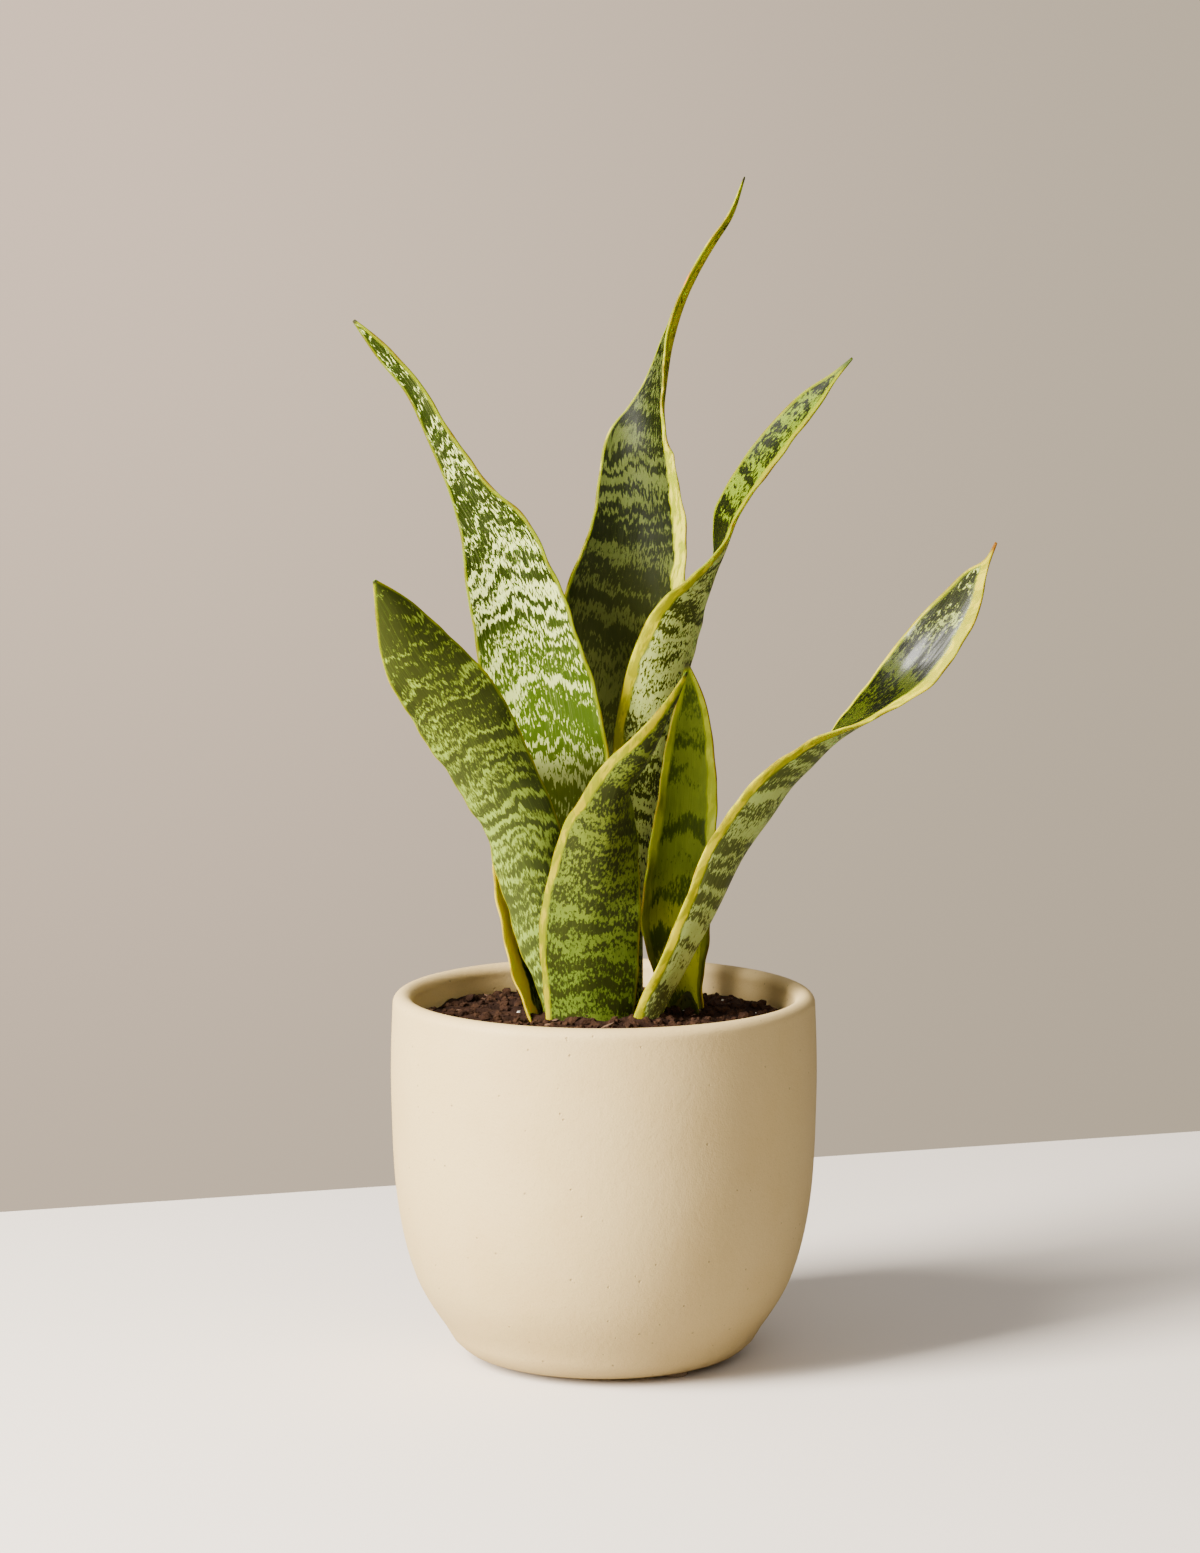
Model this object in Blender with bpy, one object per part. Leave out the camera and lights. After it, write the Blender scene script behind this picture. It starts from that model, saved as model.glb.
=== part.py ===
"""A potted snake plant: seven leaves and a short sheath, in soil, in a round ceramic pot on three pads.

Metres, +Z up. The pot's axis is upright. The whole stands with the pads' undersides at z = 0 and the
middle of its bounding box over the origin.
"""

import math

import bmesh
import bpy
import numpy as np

MM = 0.001

# Clearances
TOUCH_GAP = 0.3 * MM  # between pieces that touch in the real object
POCKET_GAP = 0.4 * MM  # round a leaf where it goes into the soil

# Pads under the pot
PAD_RADIUS = 4.5 * MM
PAD_HEIGHT = 1.5 * MM
PAD_INSET = 1.15 * MM  # from the edge of the pot's flat base to a pad
PAD_BEVEL = 0.25 * MM
PAD_BEARINGS = {"pad_front": -52.0, "pad_right": 68.0, "pad_left": 188.0}

# Pot
POT_RADIUS = 65.0 * MM  # at the widest place
POT_HEIGHT = 110.8 * MM  # underside to rim
POT_WALL = 6.2 * MM
POT_FLOOR = 8.0 * MM
RIM_BAND = 6.5 * MM  # height of the wider band inside the rim
RIM_STEP = 0.6 * MM  # how far the wall below the band stands in
FLOOR_ROUND = 14.0 * MM
POT_SEGMENTS = 64
LIP_POINTS = 8

# The pot's outside, as shares of its height and of its widest radius
POT_SHAPE = (
    (0.000, 0.610),
    (0.006, 0.638),
    (0.022, 0.680),
    (0.080, 0.753),
    (0.139, 0.821),
    (0.195, 0.873),
    (0.252, 0.909),
    (0.309, 0.936),
    (0.365, 0.956),
    (0.421, 0.971),
    (0.480, 0.982),
    (0.550, 0.990),
    (0.650, 0.996),
    (0.760, 1.000),
    (0.860, 0.998),
    (0.968, 0.991),
)

# Soil
SOIL_BELOW_RIM = 9.0 * MM  # at the wall
SOIL_MOUND = 3.0 * MM  # how much higher it lies round the leaves
SOIL_MOUND_RADIUS = 30.0 * MM
SOIL_BUMP = 0.5 * MM
SOIL_SEGMENTS = 64
SOIL_RINGS = (52.6, 48.1, 43.0, 37.3, 31.7, 26.0, 19.8, 13.0, 6.2)  # mm from the axis

# Leaves
LEAF_THICKNESS = 2.2 * MM  # along the middle of a broad leaf
LEAF_EDGE = 0.7 * MM
LEAF_RINGS = 26
SHEATH_RINGS = 8
ACROSS = (-1.0, -0.7, -0.36, 0.0, 0.36, 0.7, 1.0)
FOLD_SOFTNESS = 0.12
POCKET_REACH = 26.0 * MM  # how far up a leaf its pocket in the soil goes

# A leaf's stations from its foot to its tip. Each is: x and y in mm from the pot's axis, z in mm
# above its rim, the turn in degrees (0 has the upper face to the front), the width in mm measured
# flat and the cup, the angle in degrees through which the blade bends from margin to margin.
LEFT_TALL = (
    (-10.5, 8.5, -20.6, 4, 35, 190),
    (-12.0, 8.5, -6.6, 4, 37, 185),
    (-16.5, 8.0, 18.4, 2, 38, 150),
    (-16.7, 9.0, 36.4, -1, 39, 112),
    (-16.3, 10.0, 59.4, -2, 40, 82),
    (-17.6, 12.0, 78.4, -4, 39, 71),
    (-21.2, 14.0, 100.4, -8, 33.5, 70),
    (-26.0, 15.5, 121.4, -11, 27, 67),
    (-30.5, 17.0, 136.9, -16, 21.5, 69),
    (-38.8, 19.0, 150.9, -21, 14, 70),
    (-49.0, 21.0, 168.4, -23, 8.5, 76),
    (-58.0, 22.5, 182.9, -21, 6.5, 80),
    (-67.5, 24.0, 193.9, -19, 5.5, 78),
    (-76.3, 25.0, 203.1, -17, 1, 61),
)
LEFT_FRONT = (
    (-9.5, -2.0, -20.6, 188, 13.5, 155),
    (-12.2, -2.5, -5.6, 186, 15.5, 152),
    (-17.8, -5.5, 17.4, 179, 21, 112),
    (-22.3, -9.0, 36.9, 173, 24.2, 96),
    (-26.3, -13.0, 52.9, 169, 26, 93),
    (-35.0, -18.0, 71.0, 170.5, 28, 81),
    (-39.5, -21.0, 80.4, 172, 29.4, 72),
    (-46.7, -25.0, 93.4, 178, 28, 63),
    (-55.5, -29.0, 106.9, 185, 22.5, 61),
    (-62.0, -33.0, 119.9, 190.5, 12.4, 63),
    (-67.7, -36.0, 129.4, 193, 1, 64),
)
BACK_TALL = (
    (-5.5, 20.0, -20.6, 10, 22, 165),
    (-6.2, 22.0, -6.6, 10, 24, 160),
    (-5.6, 28.0, 23.9, 8, 28.5, 124),
    (-1.4, 33.5, 54.9, 5, 37, 101),
    (4.2, 35.5, 87.4, -2, 41.8, 76),
    (7.4, 36.5, 114.4, -12, 41.2, 65),
    (10.5, 37.0, 126.4, -19, 37.5, 67),
    (12.6, 37.5, 140.9, -24, 33.2, 67),
    (12.5, 37.5, 154.9, -29, 29.5, 67),
    (12.3, 37.5, 163.7, -33, 26, 67),
    (14.6, 37.5, 171.9, -48, 20.5, 70),
    (17.4, 37.5, 181.9, -67, 16, 78),
    (20.4, 37.5, 195.9, -84, 12.6, 86),
    (24.7, 37.5, 209.2, -95, 9.6, 88),
    (28.9, 37.0, 217.9, -101, 7.4, 84),
    (34.2, 36.5, 226.9, -104, 6.4, 78),
    (38.6, 36.0, 233.7, -104, 5, 72),
    (43.0, 34.5, 246.4, -101, 0.9, 60),
)
FRONT = (
    (-2.8, -7.5, -20.6, 194, 29, 112),
    (-2.2, -9.5, -5.6, 194, 34.5, 108),
    (-2.0, -12.0, 6.4, 194, 37.5, 103),
    (-1.3, -15.0, 22.4, 196, 39.5, 100),
    (1.3, -18.0, 38.4, 202, 38, 101),
    (4.1, -22.0, 55.4, 212, 31, 109),
    (6.8, -25.5, 64.9, 219, 23.5, 106),
    (11.5, -30.0, 75.4, 227, 15.8, 100),
    (16.9, -34.0, 85.9, 234, 9.8, 90),
    (21.0, -37.5, 94.2, 236, 5.3, 80),
    (24.5, -39.5, 102.8, 233, 0.9, 60),
)
RIGHT_MID = (
    (9.8, 9.5, -20.6, -117, 17, 126),
    (10.2, 10.5, -4.6, -119, 18.4, 124),
    (9.9, 15.0, 25.9, -127, 21.5, 116),
    (12.0, 17.5, 48.4, -140, 24.7, 108),
    (15.3, 18.5, 67.7, -148, 27, 103),
    (17.8, 18.5, 84.4, -146, 27.8, 95),
    (21.6, 17.0, 101.0, -138, 27.7, 83),
    (26.9, 15.0, 114.9, -124, 27.3, 75),
    (32.2, 12.5, 125.2, -105, 25.5, 66),
    (35.9, 10.0, 134.1, -88, 22.5, 63),
    (39.3, 6.5, 146.0, -70, 18, 63),
    (45.8, 3.0, 157.8, -56, 14.3, 63),
    (53.8, 0.0, 169.4, -45, 11.8, 61),
    (63.3, -3.5, 181.2, -38, 7.7, 62),
    (69.0, -5.5, 187.6, -38, 3, 63),
    (74.2, -6.5, 193.2, -40, 0.8, 64),
)
RIGHT_BACK = (
    (26.8, 12.0, -20.6, -3, 15, 190),
    (25.4, 11.0, -6.9, -3, 16.5, 190),
    (22.9, 9.5, 6.4, -2, 21, 148),
    (22.2, 9.0, 18.4, -1, 24, 107),
    (22.8, 9.5, 31.7, 0, 23.5, 87),
    (24.0, 10.5, 42.4, 1, 21.8, 74),
    (25.4, 12.0, 57.9, 1, 19.3, 67),
    (26.0, 13.2, 66.9, 1, 17.4, 62),
    (26.3, 14.5, 77.8, 1, 14, 57),
    (26.5, 16.5, 88.1, 0, 8.7, 51),
    (25.4, 18.5, 99.0, 0, 0.9, 50),
)
RIGHT_LOW = (
    (12.0, -7.5, -20.6, -107, 15, 138),
    (15.2, -7.0, -9.1, -107, 18.5, 134),
    (24.6, -9.0, 10.4, -106, 22.3, 120),
    (33.2, -11.0, 27.9, -110, 26.3, 108),
    (40.9, -13.5, 44.9, -114, 29, 92),
    (48.4, -16.0, 56.6, -116, 29.4, 80),
    (54.9, -18.5, 66.4, -114, 27.7, 72),
    (61.7, -20.0, 73.2, -109, 25.8, 66),
    (67.8, -21.0, 79.2, -100, 23.7, 59),
    (76.6, -22.0, 86.2, -81, 21.7, 53),
    (85.9, -23.0, 94.8, -56, 19.8, 46),
    (92.4, -24.0, 101.8, -41, 19.4, 43),
    (100.0, -25.0, 112.1, -30, 17.5, 40),
    (105.8, -26.0, 121.0, -25, 13.4, 40),
    (110.2, -27.0, 129.4, -22, 7.3, 40),
    (113.0, -28.0, 133.6, -20, 2.4, 41),
    (115.9, -29.0, 140.0, -21, 0.8, 42),
)
SHEATH = (
    (25.0, 2.0, -20.6, 6, 12, 150),
    (24.9, 2.4, -11.6, 6, 11.5, 140),
    (24.9, 2.8, -5.1, 6, 8.5, 120),
    (25.8, 3.2, -0.3, 6, 0.9, 60),
)

# Node, stations, and the share of the cup that is folded along the middle as a keel
LEAVES = {
    "leaf_left_tall": (LEFT_TALL, 0.0),
    "leaf_left_front": (LEFT_FRONT, 0.1),
    "leaf_back_tall": (BACK_TALL, 0.0),
    "leaf_front": (FRONT, 0.35),
    "leaf_right_mid": (RIGHT_MID, 0.1),
    "leaf_right_back": (RIGHT_BACK, 0.0),
    "leaf_right_low": (RIGHT_LOW, 0.1),
    "sheath": (SHEATH, 0.0),
}

# Colour, roughness
LOOKS = {
    "pot": ((0.74, 0.64, 0.49), 0.65),
    "soil": ((0.045, 0.022, 0.012), 0.95),
    "pad": ((0.42, 0.29, 0.18), 0.6),
    "leaf_left_tall": ((0.38, 0.47, 0.27), 0.42),
    "leaf_left_front": ((0.15, 0.21, 0.06), 0.45),
    "leaf_back_tall": ((0.16, 0.20, 0.09), 0.38),
    "leaf_front": ((0.20, 0.30, 0.08), 0.45),
    "leaf_right_mid": ((0.38, 0.44, 0.24), 0.42),
    "leaf_right_back": ((0.26, 0.36, 0.06), 0.40),
    "leaf_right_low": ((0.22, 0.28, 0.08), 0.35),
    "sheath": ((0.05, 0.09, 0.03), 0.5),
}


def clear_scene():
    for obj in list(bpy.data.objects):
        bpy.data.objects.remove(obj)


def material(name):
    colour, roughness = LOOKS[name]
    made = bpy.data.materials.new(name)
    made.use_nodes = True
    shader = made.node_tree.nodes["Principled BSDF"]
    shader.inputs["Base Color"].default_value = (*colour, 1.0)
    shader.inputs["Roughness"].default_value = roughness
    shader.inputs["Metallic"].default_value = 0.0
    return made


def solid(name, points, faces, look=None):
    """One closed body from its corners and faces, with its faces turned outwards."""
    mesh = bpy.data.meshes.new(name)
    mesh.from_pydata([tuple(p) for p in points], [], faces)
    shell = bmesh.new()
    shell.from_mesh(mesh)
    bmesh.ops.recalc_face_normals(shell, faces=shell.faces)
    shell.to_mesh(mesh)
    shell.free()
    if look:
        mesh.materials.append(material(look))
    obj = bpy.data.objects.new(name, mesh)
    bpy.context.scene.collection.objects.link(obj)
    return obj


def turned(name, profile, segments, look, lift=None):
    """A body turned about Z. The profile of (radius, height) starts and ends on the axis.

    lift, where given, is added to the height of every corner: it is a function of x, y and z.
    """
    points = [(0.0, 0.0, profile[0][1])]
    for radius, height in profile[1:-1]:
        for i in range(segments):
            angle = 2 * math.pi * i / segments
            points.append((radius * math.cos(angle), radius * math.sin(angle), height))
    points.append((0.0, 0.0, profile[-1][1]))
    if lift:
        points = [(x, y, z + lift(x, y, z)) for x, y, z in points]
    faces = []
    rings = len(profile) - 2
    last = len(points) - 1
    for i in range(segments):
        j = (i + 1) % segments
        faces.append((0, 1 + i, 1 + j))
        for ring in range(rings - 1):
            low = 1 + ring * segments
            high = low + segments
            faces.append((low + i, high + i, high + j, low + j))
        top = 1 + (rings - 1) * segments
        faces.append((top + i, last, top + j))
    return solid(name, points, faces, look)


# ---- Pot, pads and soil


def underside():
    return PAD_HEIGHT + TOUCH_GAP


def rim():
    return underside() + POT_HEIGHT


def wall_inside(z):
    """The inner radius of the pot's plain wall, below the rim's band, at height z."""
    shares = [share for share, _ in POT_SHAPE]
    radii = [radius for _, radius in POT_SHAPE]
    outside = POT_RADIUS * float(np.interp((z - underside()) / POT_HEIGHT, shares, radii))
    return outside - POT_WALL - RIM_STEP


def floor_curve(inset):
    """(radius, height) up the rounded corner inside the pot, from the floor, moved in by inset."""
    floor = underside() + POT_FLOOR
    curve = []
    for i in range(6):
        angle = math.radians(15 * i)
        z = floor + FLOOR_ROUND * (1 - math.cos(angle))
        reach = wall_inside(floor + FLOOR_ROUND) - FLOOR_ROUND * (1 - math.sin(angle))
        curve.append((min(reach, wall_inside(z)) - inset, z + inset))
    return curve


def make_pot():
    outside = [(POT_RADIUS * r, underside() + POT_HEIGHT * h) for h, r in POT_SHAPE]
    lip_radius = POT_WALL / 2
    lip_middle = outside[-1][0] - lip_radius
    lip = []
    for i in range(1, LIP_POINTS + 1):
        angle = math.pi * i / LIP_POINTS
        up = rim() - lip_radius + lip_radius * math.sin(angle)
        lip.append((lip_middle + lip_radius * math.cos(angle), up))
    band = lip[-1][0]
    shelf = rim() - RIM_BAND
    inside = [(band, shelf), (band - 0.6 * RIM_STEP, shelf - 0.4 * RIM_STEP)]
    low = underside() + POT_FLOOR + FLOOR_ROUND
    for share in (0.0, 0.12, 0.26, 0.42, 0.6, 0.78, 0.9):
        z = shelf - RIM_STEP - share * (shelf - RIM_STEP - low)
        inside.append((wall_inside(z), z))
    inside += reversed(floor_curve(0.0))
    ends = (0.0, underside()), (0.0, underside() + POT_FLOOR)
    turned("pot", [ends[0], *outside, *lip, *inside, ends[1]], POT_SEGMENTS, "pot")


def make_pads():
    top = PAD_HEIGHT - PAD_BEVEL
    edge = PAD_RADIUS - PAD_BEVEL
    profile = [
        (0.0, 0.0),
        (edge, 0.0),
        (PAD_RADIUS, PAD_BEVEL),
        (PAD_RADIUS, top),
        (edge, PAD_HEIGHT),
        (0.0, PAD_HEIGHT),
    ]
    circle = POT_RADIUS * POT_SHAPE[0][1] - PAD_INSET - PAD_RADIUS
    for name, bearing in PAD_BEARINGS.items():
        pad = turned(name, profile, 32, "pad")
        angle = math.radians(bearing)
        pad.location = (circle * math.cos(angle), circle * math.sin(angle), 0.0)


def soil_rise(x, y):
    """How far the soil's surface lies above its level at the wall."""
    reach = math.hypot(x - 6 * MM, y - 4 * MM) / SOIL_MOUND_RADIUS
    mound = SOIL_MOUND * math.exp(-(reach**2))
    wave = math.sin(310 * x + 1.0) * math.cos(270 * y - 0.4) + 0.7 * math.sin(530 * (x - y))
    return mound + SOIL_BUMP * wave


def make_soil():
    level = rim() - SOIL_BELOW_RIM
    floor = floor_curve(TOUCH_GAP)
    low = floor[-1][1]
    sides = []
    for share in (0.25, 0.5, 0.75, 0.93):
        z = low + share * (level - low)
        sides.append((wall_inside(z) - TOUCH_GAP, z))
    edge = wall_inside(level) - TOUCH_GAP - 1.0 * MM
    rings = [radius * MM for radius in SOIL_RINGS if radius * MM < edge - 2.0 * MM]
    top = [(radius, level) for radius in (edge, *rings)]
    profile = [(0.0, floor[0][1]), *floor, *sides, *top, (0.0, level)]

    def lift(x, y, z):
        return soil_rise(x, y) if z >= level - 1e-6 else 0.0

    return turned("soil", profile, SOIL_SEGMENTS, "soil", lift)


# ---- Leaves


def through(stations, at):
    """The stations' values at the distances in at along the leaf, on a smooth curve through them."""
    values = np.array(stations, float)
    values[:, (0, 1, 2, 4)] *= MM
    values[:, 2] += rim()
    steps = np.linalg.norm(np.diff(values[:, :3], axis=0), axis=1)
    along = np.concatenate([[0.0], np.cumsum(steps)])
    slopes = np.diff(values, axis=0) / steps[:, None]
    ends = np.vstack([slopes[:1], slopes, slopes[-1:]])
    spans = np.concatenate([steps[:1], steps, steps[-1:]])[:, None]
    tangents = (ends[:-1] * spans[1:] + ends[1:] * spans[:-1]) / (spans[1:] + spans[:-1])
    at = np.clip(at, 0.0, along[-1])
    i = np.clip(np.searchsorted(along, at, side="right") - 1, 0, len(steps) - 1)
    h = steps[i][:, None]
    t = (at - along[i])[:, None] / h
    start = (2 * t**3 - 3 * t**2 + 1) * values[i] + (t**3 - 2 * t**2 + t) * h * tangents[i]
    end = (3 * t**2 - 2 * t**3) * values[i + 1] + (t**3 - t**2) * h * tangents[i + 1]
    return start + end


def leaf_length(stations):
    places = np.array(stations, float)[:, :3] * MM
    return float(np.linalg.norm(np.diff(places, axis=0), axis=1).sum())


def section(width, cup, fold):
    """The blade's middle line at each of ACROSS: how far sideways, how far up, and its slope."""
    fine = np.linspace(-1, 1, 81)
    share = (1 - fold) * fine + fold * np.tanh(fine / FOLD_SOFTNESS)
    slope = math.radians(cup) / 2 * share
    side = np.concatenate([[0.0], np.cumsum(np.cos(slope)[1:] + np.cos(slope)[:-1])])
    rise = np.concatenate([[0.0], np.cumsum(np.sin(slope)[1:] + np.sin(slope)[:-1])])
    scale = width / 2 * (fine[1] - fine[0]) / 2
    side = (side - side[40]) * scale
    rise = (rise - rise[40]) * scale
    return [np.interp(ACROSS, fine, row) for row in (side, rise, slope)]


def leaf_rings(stations, fold, at, swell):
    """A closed loop of points round the blade at each distance along it, swollen by swell."""
    here = through(stations, at)
    ahead = through(stations, at + 0.5 * MM)[:, :3] - through(stations, at - 0.5 * MM)[:, :3]
    across = np.array(ACROSS)
    rings = []
    for (x, y, z, turn, width, cup), axis in zip(here, ahead):
        axis = axis / np.linalg.norm(axis)
        front = np.array([0.0, -1.0, 0.0])
        front = front - axis * (front @ axis)
        front = front / np.linalg.norm(front)
        right = np.cross(axis, front)
        angle = math.radians(turn)
        up = front * math.cos(angle) + right * math.sin(angle)
        out = right * math.cos(angle) - front * math.sin(angle)
        middle = min(LEAF_THICKNESS, 0.5 * MM + 0.12 * width)
        edge = min(LEAF_EDGE, 0.5 * middle)
        half = (edge + (middle - edge) * (1 - across**2)) / 2 + swell
        side, rise, slope = section(width + 2 * swell, cup, fold)
        line = np.array([x, y, z]) + side[:, None] * out + rise[:, None] * up
        normal = np.cos(slope)[:, None] * up - np.sin(slope)[:, None] * out
        above = line + half[:, None] * normal
        below = line - half[:, None] * normal
        rings.append(np.vstack([above, below[::-1]]))
    return np.array(rings)


def make_leaf(name, look, stations, fold, rings, reach=None, swell=0.0):
    """A blade lofted through its stations, as far up as reach, which is its tip unless given."""
    at = np.linspace(0.0, leaf_length(stations), rings)
    if reach:
        at = at[: int(np.searchsorted(at, reach)) + 1]
    loops = leaf_rings(stations, fold, at, swell)
    if swell:
        loops[0] += (loops[0].mean(axis=0) - loops[1].mean(axis=0)) * 0.1
    count = loops.shape[1]
    faces = []
    for low in range(0, (len(loops) - 1) * count, count):
        for i in range(count):
            j = (i + 1) % count
            faces.append((low + i, low + j, low + count + j, low + count + i))
    for first in (0, (len(loops) - 1) * count):
        for i in range(len(ACROSS) - 1):
            other = count - 1 - i
            faces.append((first + i, first + i + 1, first + other - 1, first + other))
    return solid(name, loops.reshape(-1, 3), faces, look)


def make_leaves(soil):
    for name, (stations, fold) in LEAVES.items():
        rings = SHEATH_RINGS if name == "sheath" else LEAF_RINGS
        make_leaf(name, name, stations, fold, rings)
        pocket = make_leaf(
            "pocket_" + name, None, stations, fold, rings, POCKET_REACH, POCKET_GAP
        )
        pocket.hide_render = True
        pocket.display_type = "WIRE"
        cut = soil.modifiers.new(pocket.name, "BOOLEAN")
        cut.object = pocket
        cut.operation = "DIFFERENCE"
        cut.solver = "EXACT"


def stand_over_origin():
    """Hangs everything on one empty, moved so that the middle of the box is over the origin."""
    bpy.context.view_layer.update()
    graph = bpy.context.evaluated_depsgraph_get()
    parts = [obj for obj in bpy.data.objects if obj.type == "MESH"]
    corners = []
    for obj in parts:
        if not obj.hide_render:
            shape = obj.evaluated_get(graph)
            corners += [shape.matrix_world @ v.co for v in shape.data.vertices]
    axis = bpy.data.objects.new("pot_axis", None)
    bpy.context.scene.collection.objects.link(axis)
    axis.location.x = -(min(c.x for c in corners) + max(c.x for c in corners)) / 2
    axis.location.y = -(min(c.y for c in corners) + max(c.y for c in corners)) / 2
    for obj in parts:
        obj.parent = axis


def main():
    clear_scene()
    make_pads()
    make_pot()
    make_leaves(make_soil())
    stand_over_origin()


main()
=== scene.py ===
"""A potted snake plant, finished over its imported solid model.

Metres, +Z up, the front is -Y. The pot's axis stands where the solid pot's does, and every piece
rides on the one body, because nothing on a potted plant turns or slides.
"""

import logging
import math
import random
from dataclasses import astuple, dataclass, replace
from enum import Enum
from typing import Any, Sequence

import bpy
import numpy as np
from mathutils import Matrix, Vector, noise


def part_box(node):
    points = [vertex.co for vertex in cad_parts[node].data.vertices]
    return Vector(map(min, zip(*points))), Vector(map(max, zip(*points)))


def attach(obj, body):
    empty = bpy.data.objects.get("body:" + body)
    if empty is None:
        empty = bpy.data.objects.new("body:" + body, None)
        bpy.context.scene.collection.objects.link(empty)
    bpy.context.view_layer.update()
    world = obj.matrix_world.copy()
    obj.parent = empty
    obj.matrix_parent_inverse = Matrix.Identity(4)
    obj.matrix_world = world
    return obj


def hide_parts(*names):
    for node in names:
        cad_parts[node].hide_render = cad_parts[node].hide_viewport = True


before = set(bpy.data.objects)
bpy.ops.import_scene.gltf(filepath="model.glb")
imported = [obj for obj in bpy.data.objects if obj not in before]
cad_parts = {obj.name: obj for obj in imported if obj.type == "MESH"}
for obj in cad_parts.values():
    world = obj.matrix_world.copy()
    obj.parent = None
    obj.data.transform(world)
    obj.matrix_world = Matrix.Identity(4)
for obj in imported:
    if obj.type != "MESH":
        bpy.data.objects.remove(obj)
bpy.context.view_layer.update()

logging.basicConfig(level=logging.INFO, format="%(message)s")
LOG = logging.getLogger("snake_plant")

MM = 0.001
WIDEST_MARGIN = 10
Colour = tuple[float, float, float]
Place = tuple[float, float, float]
Number = int | float
Line = list[tuple[float, float]]
Station = tuple[float, float, float, float, float, float]
Widths = tuple[tuple[float, float], ...]


def pot_axis() -> Vector:
    """The foot of the pot's axis, on the ground."""
    low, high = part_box("pot")
    return Vector(((low.x + high.x) / 2, (low.y + high.y) / 2, 0.0))


AXIS = pot_axis()


# ---- Tools shared by the pieces


def deselect() -> None:
    """Leaves object mode with nothing selected."""
    if bpy.context.object and bpy.context.object.mode != "OBJECT":
        bpy.ops.object.mode_set(mode="OBJECT")
    bpy.ops.object.select_all(action="DESELECT")


def make_active(obj: bpy.types.Object) -> None:
    """Selects one object alone and makes it active.

    Args:
        obj: the object to work on next.
    """
    deselect()
    obj.select_set(True)
    bpy.context.view_layer.objects.active = obj


def apply_all(obj: bpy.types.Object) -> None:
    """Applies every modifier of a piece in its order.

    Args:
        obj: the piece.
    """
    make_active(obj)
    for modifier in list(obj.modifiers):
        bpy.ops.object.modifier_apply(modifier=modifier.name)


def settle(obj: bpy.types.Object, name: str) -> bpy.types.Object:
    """Names a piece and puts its place into its mesh, so that the object sits at the origin.

    Args:
        obj: the piece.
        name: its name, for the object and its mesh.

    Returns:
        The same piece.
    """
    make_active(obj)
    bpy.ops.object.transform_apply(location=True, rotation=True, scale=True)
    obj.name = name
    obj.data.name = name
    return obj


def hand_over(obj: bpy.types.Object, slot: str, *nodes: str) -> None:
    """Rides a piece on the body, in place of its solids.

    Args:
        obj: the finished piece.
        slot: the record's material slot, not used.
        nodes: the solids that it stands for.
    """
    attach(obj, "root")
    if nodes:
        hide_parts(*nodes)
    LOG.info("%s: %d faces", obj.name, len(obj.data.polygons))


def smooth_through(keys: Sequence[float], rows: Any, at: Any) -> np.ndarray:
    """Reads a smooth curve through rows of values.

    Args:
        keys: where each row stands, rising.
        rows: one row of values for each key.
        at: where to read the curve.

    Returns:
        One row for each place in at.
    """
    keys = np.asarray(keys, float)
    rows = np.asarray(rows, float)
    steps = np.diff(keys)
    slopes = np.diff(rows, axis=0) / steps[:, None]
    ends = np.vstack([slopes[:1], slopes, slopes[-1:]])
    spans = np.concatenate([steps[:1], steps, steps[-1:]])[:, None]
    tangents = (ends[:-1] * spans[1:] + ends[1:] * spans[:-1]) / (spans[1:] + spans[:-1])
    at = np.clip(np.asarray(at, float), keys[0], keys[-1])
    i = np.clip(np.searchsorted(keys, at, side="right") - 1, 0, len(steps) - 1)
    h = steps[i][:, None]
    t = (at - keys[i])[:, None] / h
    start = (2 * t**3 - 3 * t**2 + 1) * rows[i] + (t**3 - 2 * t**2 + t) * h * tangents[i]
    end = (3 * t**2 - 2 * t**3) * rows[i + 1] + (t**3 - t**2) * h * tangents[i + 1]
    return start + end


def turn_profile(profile: Line, segments: int) -> bpy.types.Object:
    """Makes a closed round body by drawing one ring up and along a profile.

    Args:
        profile: (radius, height) from the middle of the underside to the middle of the top.
        segments: how many sides each ring has.

    Returns:
        The new object, round the pot's axis.
    """
    deselect()
    radius, height = profile[0]
    bpy.ops.mesh.primitive_circle_add(
        vertices=segments, radius=radius, location=(AXIS.x, AXIS.y, height)
    )
    obj = bpy.context.object
    bpy.ops.object.mode_set(mode="EDIT")
    bpy.ops.mesh.select_all(action="SELECT")
    for next_radius, next_height in profile[1:]:
        lift = (0.0, 0.0, next_height - height)
        bpy.ops.mesh.extrude_edges_move(TRANSFORM_OT_translate={"value": lift})
        share = next_radius / radius
        bpy.ops.transform.resize(
            value=(share, share, 1.0), center_override=(AXIS.x, AXIS.y, next_height)
        )
        radius, height = next_radius, next_height
    bpy.ops.mesh.select_all(action="DESELECT")
    bpy.ops.mesh.select_non_manifold()
    bpy.ops.mesh.fill_holes(sides=0)
    bpy.ops.mesh.select_all(action="SELECT")
    bpy.ops.mesh.normals_make_consistent(inside=False)
    bpy.ops.object.mode_set(mode="OBJECT")
    return obj


# ---- Shader tools


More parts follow.
